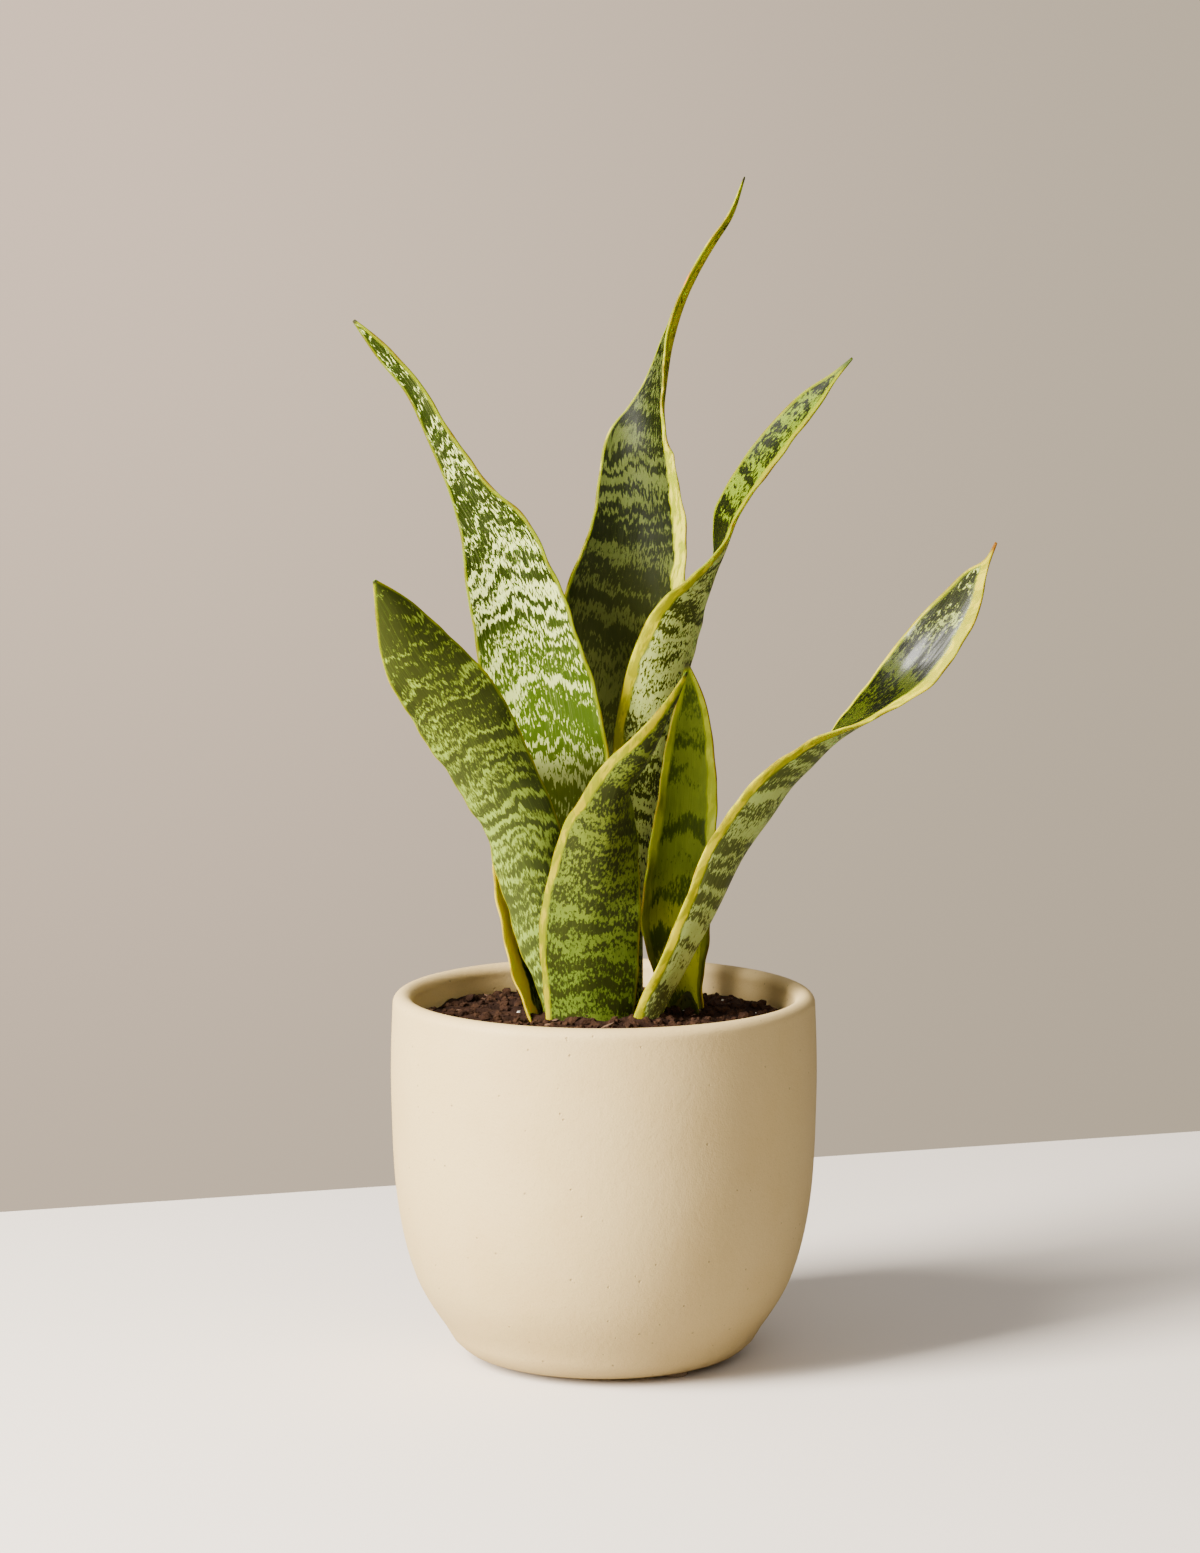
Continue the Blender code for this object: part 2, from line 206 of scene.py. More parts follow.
class Value:
    """A shader socket that takes part in arithmetic."""

    def __init__(self, paint: "Paint", socket: bpy.types.NodeSocket) -> None:
        """Wraps an output of the paint's nodes that carries a number."""
        self.paint = paint
        self.socket = socket

    def _maths(self, operation: str, *others: Any) -> "Value":
        """A Math node on this value and up to two others."""
        node = self.paint.node("Math", {"operation": operation}, None, self, *others)
        return Value(self.paint, node.outputs[0])

    def __add__(self, other: Any) -> "Value":
        """This plus other."""
        return self._maths("ADD", other)

    __radd__ = __add__

    def __mul__(self, other: Any) -> "Value":
        """This times other."""
        return self._maths("MULTIPLY", other)

    __rmul__ = __mul__

    def __sub__(self, other: Any) -> "Value":
        """This less other."""
        return self._maths("SUBTRACT", other)

    def __rsub__(self, other: Number) -> "Value":
        """Other less this."""
        return (self * -1.0) + other

    def size(self) -> "Value":
        """This without its sign."""
        return self._maths("ABSOLUTE")

    def least(self, other: Any) -> "Value":
        """The smaller of this and other."""
        return self._maths("MINIMUM", other)

    def step(self, low: Any, high: Any, start: Number = 0.0, end: Number = 1.0) -> "Value":
        """A soft step from start to end as this goes from low to high.

        Args:
            low: where the step begins.
            high: where the step is complete.
            start: the result below low.
            end: the result above high.

        Returns:
            The stepped value.
        """
        settings = {"interpolation_type": "SMOOTHSTEP", "clamp": True}
        links = {"Value": self, "From Min": low, "From Max": high, "To Min": start, "To Max": end}
        return Value(self.paint, self.paint.node("MapRange", settings, links).outputs[0])


class Paint:
    """One procedural material and the nodes that make it up."""

    # Where a Mix node has its factor and its two colours, and where it gives the mixed one.
    MIX_INPUTS = (0, 6, 7)
    MIX_OUTPUT = 2

    def __init__(self, name: str) -> None:
        """Begins a material with a single Principled shader.

        Args:
            name: the material's name.
        """
        self.material = bpy.data.materials.new(name)
        self.material.use_nodes = True
        self.tree = self.material.node_tree
        self.shader = self.tree.nodes["Principled BSDF"]

    @classmethod
    def of_tree(cls, tree: bpy.types.NodeTree) -> "Paint":
        """Paints in a tree that is there already.

        Args:
            tree: the tree, for example a world's.

        Returns:
            The painter of that tree.
        """
        paint = cls.__new__(cls)
        paint.tree = tree
        return paint

    def _feed(self, socket: bpy.types.NodeSocket, given: Any) -> None:
        """Links or sets one input.

        Args:
            socket: the input.
            given: a value or a socket that feeds it, or the number or colour that it holds.
        """
        if isinstance(given, Value):
            given = given.socket
        if isinstance(given, bpy.types.NodeSocket):
            self.tree.links.new(given, socket)
        elif isinstance(given, tuple) and socket.type == "RGBA":
            socket.default_value = (*given[:3], 1.0)
        else:
            socket.default_value = given

    def node(
        self, kind: str, settings: dict[str, Any], links: dict[str, Any] | None, *placed: Any
    ) -> bpy.types.Node:
        """Adds any node.

        Args:
            kind: the node's type without its ShaderNode prefix.
            settings: its own settings, set first; "stops" gives a ramp's (place, colour) pairs.
            links: values or sockets for its inputs, by name.
            placed: values or sockets for its first inputs, in order.

        Returns:
            The node.
        """
        made = self.tree.nodes.new("ShaderNode" + kind)
        for key, setting in settings.items():
            if key == "stops":
                ramp = made.color_ramp
                while len(ramp.elements) < len(setting):
                    ramp.elements.new(1.0)
                for element, (place, colour) in zip(ramp.elements, setting):
                    element.position = place
                    element.color = (*colour, 1.0)
            else:
                setattr(made, key, setting)
        for i, given in enumerate(placed):
            self._feed(made.inputs[i], given)
        for key, given in (links or {}).items():
            self._feed(made.inputs[key], given)
        return made

    def parts(self, socket: bpy.types.NodeSocket) -> list[Value]:
        """The X, Y and Z of a vector."""
        return [Value(self, s) for s in self.node("SeparateXYZ", {}, None, socket).outputs]

    def vector(self, x: Any, y: Any, z: Any = 0.0) -> bpy.types.NodeSocket:
        """A vector from three numbers."""
        return self.node("CombineXYZ", {}, None, x, y, z).outputs[0]

    def place(self) -> bpy.types.NodeSocket:
        """The place on the piece, in metres."""
        return self.node("TexCoord", {}, None).outputs["Object"]

    def cloud(self, vector: Any, scale: float, detail: float = 2.0, rough: float = 0.5) -> Value:
        """Noise from about 0 to 1, with scale lumps to the unit and detail finer layers."""
        links = {"Vector": vector, "Scale": scale, "Detail": detail, "Roughness": rough}
        return Value(self, self.node("TexNoise", {}, links).outputs[0])

    def mix(self, share: Any, under: Any, over: Any) -> bpy.types.NodeSocket:
        """One colour laid over another.

        Args:
            share: how much of the upper colour shows, from 0 to 1.
            under: the lower colour.
            over: the upper colour.

        Returns:
            The mixed colour.
        """
        made = self.node("Mix", {"data_type": "RGBA"}, None)
        for i, given in zip(self.MIX_INPUTS, (share, under, over)):
            self._feed(made.inputs[i], given)
        return made.outputs[self.MIX_OUTPUT]

    def ramp(self, value: Value, stops: Sequence[tuple[float, Colour]]) -> bpy.types.NodeSocket:
        """The colour at value, from 0 to 1, in a row of (place, colour) stops."""
        return self.node("ValToRGB", {"stops": list(stops)}, None, value).outputs[0]

    def width(self, share: Value, widths: Widths) -> Value:
        """A margin's width in metres at a share of the leaf's length."""
        stops = [(place, (width / WIDEST_MARGIN,) * 3) for place, width in widths]
        return Value(self, self.ramp(share, stops)) * (WIDEST_MARGIN * MM)

    def bump(self, height: Value, distance: float, strength: float) -> None:
        """Gives the surface relief.

        Args:
            height: the relief, from 0 to 1.
            distance: how deep it is, in metres.
            strength: how much of it shows.
        """
        links = {"Height": height, "Distance": distance, "Strength": strength}
        made = self.node("Bump", {}, links)
        self.tree.links.new(made.outputs[0], self.shader.inputs["Normal"])

    def finish(self, **inputs: Any) -> bpy.types.Material:
        """Sets the shader's own sockets.

        Args:
            inputs: values or sockets, by socket name with _ for a space.

        Returns:
            The finished material.
        """
        for key, given in inputs.items():
            self._feed(self.shader.inputs[key.replace("_", " ")], given)
        return self.material


# ---- Leaf skins


class Side(Enum):
    """The two faces of a leaf's blade."""

    UPPER = "upper"
    UNDER = "under"


@dataclass(frozen=True)
class Grain:
    """Noise on a blade: its lumps to the metre each way, its own shift, and its finer layers."""

    wide: float
    high: float
    shift: float = 0.0
    detail: float = 2.0
    rough: float = 0.5


# Read across and along: the waves, threads and hairs of the bands, and the relief and its shine.
BROAD = Grain(95.0, 34.0)
LOCK = Grain(420.0, 60.0, 7.7)
THREAD = Grain(1500.0, 130.0, 9.1)
TUFT = Grain(300.0, 110.0, 1.9, 3.0, 0.6)
HAIR = Grain(2600.0, 60.0)
UNEVEN = Grain(500.0, 130.0, 2.2, 3.0)
SWELL = Grain(160.0, 90.0, 4.4)
STREAK = Grain(430.0, 34.0, 4.9)
# Read along and in from the left edge: the margins' swing and their blotches.
WAVER = Grain(95.0, 150.0, 6.0, 3.0, 0.6)
BLOTCH = Grain(150.0, 420.0, 8.0, 3.0, 0.6)
# Read in from the left edge and along: the margins' frayed inner line.
FRAY = Grain(1900.0, 240.0, 2.0)

# How far noise strays from its middle, which turns a share of the blade into a level of the noise.
REACH = 0.36
# How far the frayed line strays, the margins' least width and their swing as shares of the width,
# and how much the locks count against the threads.
FRAYED = 0.0006
LEAST_WIDTH = 0.55
SWING = 0.9
LOCK_SHARE = 0.8
# How many lumps of noise make one cross band, and how far the bands' noise and flecks are shifted.
LUMPS = 0.95
BAND_SHIFT = 3.7
FLECK_SHIFT = 5.3
# How much the hairs, the unevenness and the swell count in the relief, and how much of it shows.
RELIEF_SHARES = (0.25, 0.25, 1.6)
RELIEF_STRENGTH = 0.6
# How far below and above its level each tone's edge runs.
GREEN_EDGE = (0.012, 0.012)
DARK_EDGE = (0.015, 0.02)
# Soft steps: the values between which they run and, where there are four, the results at both ends.
TUFTED = (0.45, 0.7)
HAIRY = (0.5, 0.8, 0.0, 0.14)
BLOTCHED = (0.44, 0.56)
STREAKED = (0.42, 0.6, 0.1, 1.0)
INNER_LINE = (0.0001, 0.0007, 0.85, 0.0)
MARGIN_LINE = (-0.00025, 0.0001, 1.0, 0.0)
DRY_LINE = (0.00012, 0.00045, 1.0, 0.0)
DRY_PATCHES = (0.42, 0.6, 0.0, 0.7)


class Blade:
    """The material of one face of a blade, with the maps in metres that its skin is painted on."""

    def __init__(self, name: str, length: float, seed: float) -> None:
        """Begins the material.

        Args:
            name: its name.
            length: how long the leaf is, in metres.
            seed: moves the patterns, so that no two leaves match.
        """
        self.paint = Paint(name)
        self.length = length
        self.seed = seed
        self.skin = self._map("skin")
        self.across, self.along, _ = self.paint.parts(self.skin)
        self.left, self.right, _ = self.paint.parts(self._map("edges"))

    def _map(self, name: str) -> bpy.types.NodeSocket:
        """The blade's map of that name."""
        return self.paint.node("UVMap", {"uv_map": name}, None).outputs[0]

    def read(self, grain: Grain, x: Value | None = None, y: Value | None = None) -> Value:
        """Reads a grain.

        Args:
            grain: the grain.
            x: the distance to read it at, the one across the blade if none is given.
            y: the distance the other way, the one along the blade if none is given.

        Returns:
            The noise, from about 0 to 1.
        """
        x, y = x or self.across, y or self.along
        lay = self.paint.vector(x * grain.wide, y * grain.high, self.seed + grain.shift)
        return self.paint.cloud(lay, 1.0, grain.detail, grain.rough)


@dataclass(frozen=True)
class Tones:
    """The three tones of a leaf's pattern, as linear colours."""

    light: Colour
    green: Colour
    dark: Colour


@dataclass(frozen=True)
class Spot:
    """A stain: how far up the leaf and how far right of its middle it is, its size, and its tone."""

    along: float
    across: float
    size: float
    tone: Colour = (0.55, 0.16, 0.01)
    strength: float = 0.85
    ragged: float = 900.0

    def lay(self, blade: Blade, base: Any) -> bpy.types.NodeSocket:
        """Lays the stain over the colour.

        Args:
            blade: the blade's material.
            base: the colour so far.

        Returns:
            The colour with the stain.
        """
        paint = blade.paint
        middle = (self.across, self.along, 0.0)
        gap = paint.node("VectorMath", {"operation": "DISTANCE"}, None, blade.skin, middle)
        ragged = paint.cloud(blade.skin, self.ragged)
        near = Value(paint, gap.outputs["Value"]) + (ragged - 0.5) * self.size
        return paint.mix(near.step(0.3 * self.size, self.size, self.strength, 0.0), base, self.tone)


@dataclass(frozen=True)
class Skin:
    """How one face of a leaf is marked: a light ground, green and dark cross bands, pale margins.

    Sizes are in metres along the blade's own surface. Tones turn into the foot's between foot_to
    and foot_from. Band is how far apart the cross bands stand at the foot, tighten how much closer
    they stand for each metre up, spread how often they break across the blade, and fleck how fine
    their grain is across and along. Dark_share and green_share are how much of the blade each tone
    covers, chevron how steeply the bands slope down from the middle, wander and jag how far they
    stray in broad waves and in threads, speckle how much they are broken up, tuft how much green
    shows in the light ground, and dark_tip how much darker the blade is at its tip. Left and right
    are the margins' widths as (share of the length, mm) pairs, margin_inner the tone that lines and
    mottles them, and rim the dry tone at the very edge. Below foot_shade_to the blade takes painted
    shade, darkening to the root's tone, and its margins turn to the heel's.
    """

    tones: Tones
    foot: Tones
    foot_from: float = 0.02
    foot_to: float = 0.08
    band: float = 0.0085
    tighten: float = 0.0
    spread: float = 26.0
    fleck: tuple[float, float] = (1900.0, 560.0)
    dark_share: float = 0.36
    green_share: float = 0.12
    chevron: float = 0.15
    wander: float = 0.013
    jag: float = 0.009
    speckle: float = 0.75
    tuft: float = 0.35
    dark_tip: float = 0.0
    left: Widths = ((0.0, 0.7), (1.0, 0.5))
    right: Widths = ((0.0, 0.7), (1.0, 0.5))
    margin: Colour = (0.40, 0.31, 0.0)
    margin_inner: Colour = (0.15, 0.18, 0.0)
    mottle: float = 0.55
    rim: Colour = (0.11, 0.055, 0.002)
    # Painted shade at the blade's foot: root is its dark tone, and foot_shade_to, foot_shade_fade and
    # foot_shade_share say where it ends, how softly, and how strongly.
    root: Colour = (0.020, 0.026, 0.001)
    heel: Colour = (0.66, 0.48, 0.0)
    foot_shade_to: float = 0.0
    foot_shade_fade: float = 0.016
    foot_shade_share: float = 0.8
    spots: tuple[Spot, ...] = ()
    tip: Colour = (0.03, 0.03, 0.008)
    tip_length: float = 0.003
    rough: float = 0.42
    uneven_rough: float = 0.24
    shine: float = 0.04
    gloss: float = 0.0
    coat_rough: float = 0.18
    glow: float = 0.25
    glow_reach: Colour = (0.6, 1.0, 0.25)
    glow_scale: float = 0.003
    relief: float = 0.0004

    def dress(self, blade: Blade) -> bpy.types.Material:
        """Paints one face of a blade.

        Args:
            blade: the blade's new material.

        Returns:
            The finished material.
        """
        paint, length = blade.paint, blade.length
        hair, uneven, swell = blade.read(HAIR), blade.read(UNEVEN), blade.read(SWELL)
        base, inside = self._with_margins(blade, self._banded(blade, hair))
        for spot in self.spots:
            base = spot.lay(blade, base)
        ending = blade.along.step(length - self.tip_length, length - 0.3 * self.tip_length)
        fine, middling, broad = RELIEF_SHARES
        height = hair * fine + uneven * middling + swell * broad
        paint.bump(height, self.relief, RELIEF_STRENGTH)
        return paint.finish(
            Base_Color=paint.mix(ending, base, self.tip),
            Roughness=uneven * self.uneven_rough + (self.rough - self.uneven_rough / 2),
            Specular_IOR_Level=self.shine,
            Coat_Weight=inside * blade.read(STREAK).step(*STREAKED) * self.gloss,
            Coat_Roughness=self.coat_rough,
            Subsurface_Weight=self.glow,
            Subsurface_Radius=self.glow_reach,
            Subsurface_Scale=self.glow_scale,
        )

    def _banded(self, blade: Blade, hair: Value) -> bpy.types.NodeSocket:
        """Paints the light ground, the bands over it, and the root.

        Args:
            blade: the blade's material.
            hair: the fine lines along the blade.

        Returns:
            The colour.
        """
        paint, along, length = blade.paint, blade.along, blade.length
        below = along.step(self.foot_from, self.foot_to, 1.0, 0.0)
        pairs = zip(astuple(self.tones), astuple(self.foot))
        light, green, dark = (paint.mix(below, upper, lower) for upper, lower in pairs)
        field = self._bands(blade) + along.step(0.45 * length, length, 0.0, self.dark_tip)
        dark_from = 0.5 + (0.5 - self.dark_share) * REACH
        green_from = dark_from - self.green_share * REACH
        base = paint.mix(blade.read(TUFT).step(*TUFTED, 0.0, self.tuft), light, green)
        for level, edge, tone in ((green_from, GREEN_EDGE, green), (dark_from, DARK_EDGE, dark)):
            base = paint.mix(field.step(level - edge[0], level + edge[1]), base, tone)
        base = paint.mix(hair.step(*HAIRY), base, light)
        # Painted shade: below foot_shade_to the foot of the blade darkens towards the root tone.
        painted_foot_shade = along.step(self.foot_shade_to - self.foot_shade_fade, self.foot_shade_to, self.foot_shade_share, 0.0)
        return paint.mix(painted_foot_shade, base, self.root)

    def _bands(self, blade: Blade) -> Value:
        """How dark the pattern is.

        Args:
            blade: the blade's material.

        Returns:
            The pattern's field, from about 0 to 1.
        """
        paint, across = blade.paint, blade.across
        lock, thread = blade.read(LOCK), blade.read(THREAD)
        shifted = blade.along + across.size() * self.chevron
        shifted = shifted + (blade.read(BROAD) - 0.5) * self.wander
        shifted = shifted + (lock - 0.5) * (LOCK_SHARE * self.jag) + (thread - 0.5) * self.jag
        closer = (shifted * self.tighten + 1.0) * (LUMPS / self.band)
        lay = paint.vector(across * self.spread, shifted * closer, blade.seed + BAND_SHIFT)
        fleck = blade.read(Grain(*self.fleck, FLECK_SHIFT, 2.0, 0.6))
        return paint.cloud(lay, 1.0) + (fleck - 0.5) * self.speckle

    def _with_margins(self, blade: Blade, base: Any) -> tuple[bpy.types.NodeSocket, Value]:
        """Lays the pale margins over the bands.

        Args:
            blade: the blade's material.
            base: the colour so far.

        Returns:
            The colour with its margins, and how much of each place is inside them.
        """
        paint, along, left, right = blade.paint, blade.along, blade.left, blade.right
        waver = blade.read(WAVER, along, left)
        share = along * (1.0 / blade.length)
        swing = waver * SWING + LEAST_WIDTH
        depth = (left - paint.width(share, self.left) * swing).least(
            right - paint.width(share, self.right) * swing
        ) + (blade.read(FRAY, left, along) - 0.5) * FRAYED
        base = paint.mix(depth.step(*INNER_LINE), base, self.margin_inner)
        blotch = blade.read(BLOTCH, along, left).step(*BLOTCHED, 0.0, self.mottle)
        pale = paint.mix(blotch, self.margin, self.margin_inner)
        heel = along.step(0.6 * self.foot_shade_to, self.foot_shade_to, 1.0, 0.0)
        pale = paint.mix(heel, pale, self.heel)
        dry = left.least(right).step(*DRY_LINE) * waver.step(*DRY_PATCHES)
        pale = paint.mix(dry, pale, self.rim)
        edge = depth.step(*MARGIN_LINE)
        return paint.mix(edge, base, pale), 1.0 - edge


# ---- Leaves


@dataclass
class Leaf:
    """One sword-shaped leaf, drawn through stations from its foot to its tip.

    Each station is x, y, z in mm from the pot's axis and the ground, the turn in degrees (0 has
    the upper face to the front), the width in mm measured flat, and the cup in degrees. Fold is
    how much of the cup is bent within fold_softness of the middle. Ripple is how far the margins
    wave, in full where the blade is full_ripple wide, and each wave is its radians to the metre,
    its shift with the seed, its shift from edge to edge, and its height. Spacing is how far apart
    the rows of the mesh stand. The blade is as thick as tip_thickness and taper of its width, up
    to thickness along the middle and edge at the margins.
    """

    name: str
    stations: tuple[Station, ...]
    upper: Skin
    under: Skin
    fold: float = 0.0
    seed: float = 0.0
    ripple: float = 0.0004
    columns: int = 24
    spacing: float = 0.0016
    thickness: float = 0.0022
    tip_thickness: float = 0.0005
    taper: float = 0.12
    edge: float = 0.0007
    fold_softness: float = 0.12
    full_ripple: float = 0.02
    waves: tuple[tuple[float, float, float, float], ...] = ((260, 3, 1.3, 1.0), (610, 7, -1.0, 0.6))
    half_step: float = 0.0005
    fine_places: int = 201

    def length(self) -> float:
        """How long the leaf is along its middle, in metres."""
        return float(self._reach()[-1])

    def _rows(self) -> np.ndarray:
        """Moves the stations to the pot's axis.

        Returns:
            The stations, in metres and degrees.
        """
        rows = np.array(self.stations, float)
        rows[:, (0, 1, 2, 4)] *= MM
        rows[:, :2] += (AXIS.x, AXIS.y)
        return rows

    def _reach(self) -> np.ndarray:
        """How far along the leaf each station stands."""
        steps = np.linalg.norm(np.diff(self._rows()[:, :3], axis=0), axis=1)
        return np.concatenate([[0.0], np.cumsum(steps)])

    def _section(self, width: float, cup: float, across: np.ndarray) -> list[np.ndarray]:
        """The curved line across the blade.

        Args:
            width: the blade's width, measured flat.
            cup: the angle through which the line bends, in degrees.
            across: places on it, from -1 at the left edge to 1 at the right edge.

        Returns:
            How far sideways and how far up each place lies, and the line's slope there.
        """
        fine = np.linspace(-1, 1, self.fine_places)
        share = (1 - self.fold) * fine + self.fold * np.tanh(fine / self.fold_softness)
        slope = math.radians(cup) / 2 * share
        scale = width / 2 * (fine[1] - fine[0]) / 2
        lines = []
        for pull in (np.cos(slope), np.sin(slope)):
            line = np.concatenate([[0.0], np.cumsum(pull[1:] + pull[:-1])])
            lines.append((line - line[len(fine) // 2]) * scale)
        return [np.interp(across, fine, line) for line in (*lines, slope)]

    def _surface(self, at: np.ndarray, across: np.ndarray) -> tuple[np.ndarray, np.ndarray]:
        """Points on the blade's middle surface.

        Args:
            at: distances along the leaf.
            across: places from edge to edge, from -1 to 1.

        Returns:
            The points, one row for each distance, and the width at each distance.
        """
        keys, rows = self._reach(), self._rows()
        here = smooth_through(keys, rows, at)
        ahead = smooth_through(keys, rows, at + self.half_step)[:, :3]
        behind = smooth_through(keys, rows, at - self.half_step)[:, :3]
        points = np.zeros((len(at), len(across), 3))
        for i, (x, y, z, turn, width, cup) in enumerate(here):
            axis = (ahead[i] - behind[i]) / np.linalg.norm(ahead[i] - behind[i])
            front = np.array([0.0, -1.0, 0.0])
            front = front - axis * (front @ axis)
            front = front / np.linalg.norm(front)
            right = np.cross(axis, front)
            angle = math.radians(turn)
            up = front * math.cos(angle) + right * math.sin(angle)
            out = right * math.cos(angle) - front * math.sin(angle)
            side, rise, slope = self._section(width, cup, across)
            wave = sum(
                high * np.sin(at[i] * pace + self.seed * shift + np.sign(across) * apart)
                for pace, shift, apart, high in self.waves
            )
            lift = self.ripple * min(1.0, width / self.full_ripple) * np.abs(across) ** 4 * wave
            normal = np.cos(slope)[:, None] * up - np.sin(slope)[:, None] * out
            line = side[:, None] * out + rise[:, None] * up + lift[:, None] * normal
            points[i] = np.array([x, y, z]) + line
        return points, here[:, 4]

    def _map_skin(
        self, obj: bpy.types.Object, at: np.ndarray, across: np.ndarray, widths: np.ndarray
    ) -> None:
        """Lays two maps in metres on the blade: place from the middle, and place from the edges.

        Args:
            obj: the blade's grid.
            at: the distance of each row from the foot.
            across: the place of each column, from -1 to 1.
            widths: the width of each row.
        """
        half = widths[:, None] / 2
        skin = np.stack([across[None, :] * half, np.repeat(at[:, None], len(across), 1)], -1)
        edges = np.stack([(1 + across)[None, :] * half, (1 - across)[None, :] * half], -1)
        corner = np.zeros(len(obj.data.loops), int)
        obj.data.loops.foreach_get("vertex_index", corner)
        obj.data.uv_layers[0].name = "skin"
        obj.data.uv_layers.new(name="edges")
        for name, values in (("skin", skin), ("edges", edges)):
            flat = values.reshape(-1, 2)[corner].ravel()
            obj.data.uv_layers[name].data.foreach_set("uv", flat)

    def build(self) -> bpy.types.Object:
        """Models the blade: a grid drawn along the leaf and dressed, then thickened and rounded.

        Returns:
            The finished mesh object.
        """
        count = int(self.length() / self.spacing)
        deselect()
        bpy.ops.mesh.primitive_grid_add(
            x_subdivisions=self.columns, y_subdivisions=count, size=1.0, location=(0, 0, 0)
        )
        obj = bpy.context.object
        at = np.linspace(0.0, self.length(), count + 1)
        across = np.linspace(-1.0, 1.0, self.columns + 1)
        points, widths = self._surface(at, across)
        obj.data.vertices.foreach_set("co", points.ravel())
        self._map_skin(obj, at, across, widths)
        self.dress(obj)
        self._thicken(obj, across, widths)
        rounding = obj.modifiers.new("rounding", "SUBSURF")
        rounding.levels = rounding.render_levels = 1
        apply_all(obj)
        make_active(obj)
        bpy.ops.object.shade_smooth()
        return settle(obj, self.name + "_blade")

    def _thicken(self, obj: bpy.types.Object, across: np.ndarray, widths: np.ndarray) -> None:
        """Gives the blade its thickness, full along the middle and thin at the edges.

        Args:
            obj: the blade's grid.
            across: the place of each column, from -1 to 1.
            widths: the width of each row.
        """
        group = obj.vertex_groups.new(name="thickness")
        for i, width in enumerate(widths):
            middle = min(self.thickness, self.tip_thickness + self.taper * width)
            thin = min(self.edge, 0.5 * middle)
            for j, place in enumerate(across):
                depth = thin + (middle - thin) * (1 - place**2)
                group.add([i * len(across) + j], depth / self.thickness, "REPLACE")
        wall = obj.modifiers.new("wall", "SOLIDIFY")
        wall.thickness = self.thickness
        wall.offset = 0.0
        wall.vertex_group = "thickness"
        wall.material_offset = 1

    def dress(self, obj: bpy.types.Object) -> None:
        """Puts the two skins on the blade, the upper one first.

        Args:
            obj: the blade, before it is thickened.
        """
        for side, skin in ((Side.UPPER, self.upper), (Side.UNDER, self.under)):
            blade = Blade(f"{self.name}_{side.value}", self.length(), self.seed)
            obj.data.materials.append(skin.dress(blade))

    def make(self) -> None:
        """Builds and hands over the leaf."""
        hand_over(self.build(), self.name, self.name)


@dataclass
class Plant:
    """The seven leaves and the short sheath at the foot of one of them."""

    leaves: tuple[Leaf, ...]

    def make(self) -> None:
        """Makes every leaf."""
        for leaf in self.leaves:
            leaf.make()


# ---- Pot


@dataclass(frozen=True)
class Stoneware:
    """A matte cream stoneware with faint mottling, fine grit and a few dark pits."""

    body: Colour = (0.70, 0.51, 0.225)
    warm: Colour = (0.65, 0.455, 0.18)
    pit: Colour = (0.22, 0.14, 0.07)
    mottle_scale: float = 38.0
    grit_scale: float = 1900.0
    hollow_scale: float = 420.0
    pit_scale: float = 300.0
    pit_share: float = 0.42
    relief: float = 0.00024
    rough: float = 0.62

    def dress(self) -> bpy.types.Material:
        """Makes the material.

        Returns:
            The material.
        """
        paint = Paint("matte_stoneware")
        place = paint.place()
        mottle = paint.cloud(place, self.mottle_scale, 3.0, 0.6)
        grit = paint.cloud(place, self.grit_scale, 2.0, 0.6)
        base = paint.mix(mottle.step(0.35, 0.75, 0.0, 0.5), self.body, self.warm)
        base = paint.mix(grit.step(0.52, 0.78, 0.0, 0.18), base, self.pit)
        cells = paint.node("TexVoronoi", {}, {"Vector": place, "Scale": self.pit_scale})
        _, chance, _ = paint.parts(cells.outputs["Color"])
        near = Value(paint, cells.outputs["Distance"])
        pits = near.step(0.05, 0.15, 1.0, 0.0) * chance.step(0.80, 0.82)
        base = paint.mix(pits * self.pit_share, base, self.pit)
        hollow = paint.cloud(place, self.hollow_scale, 3.0, 0.6)
        paint.bump(grit * 0.35 + hollow * 0.6 - pits * 0.9, self.relief, 0.8)
        return paint.finish(
            Base_Color=base,
            Roughness=mottle * 0.12 + (self.rough - 0.06),
            Specular_IOR_Level=0.35,
        )


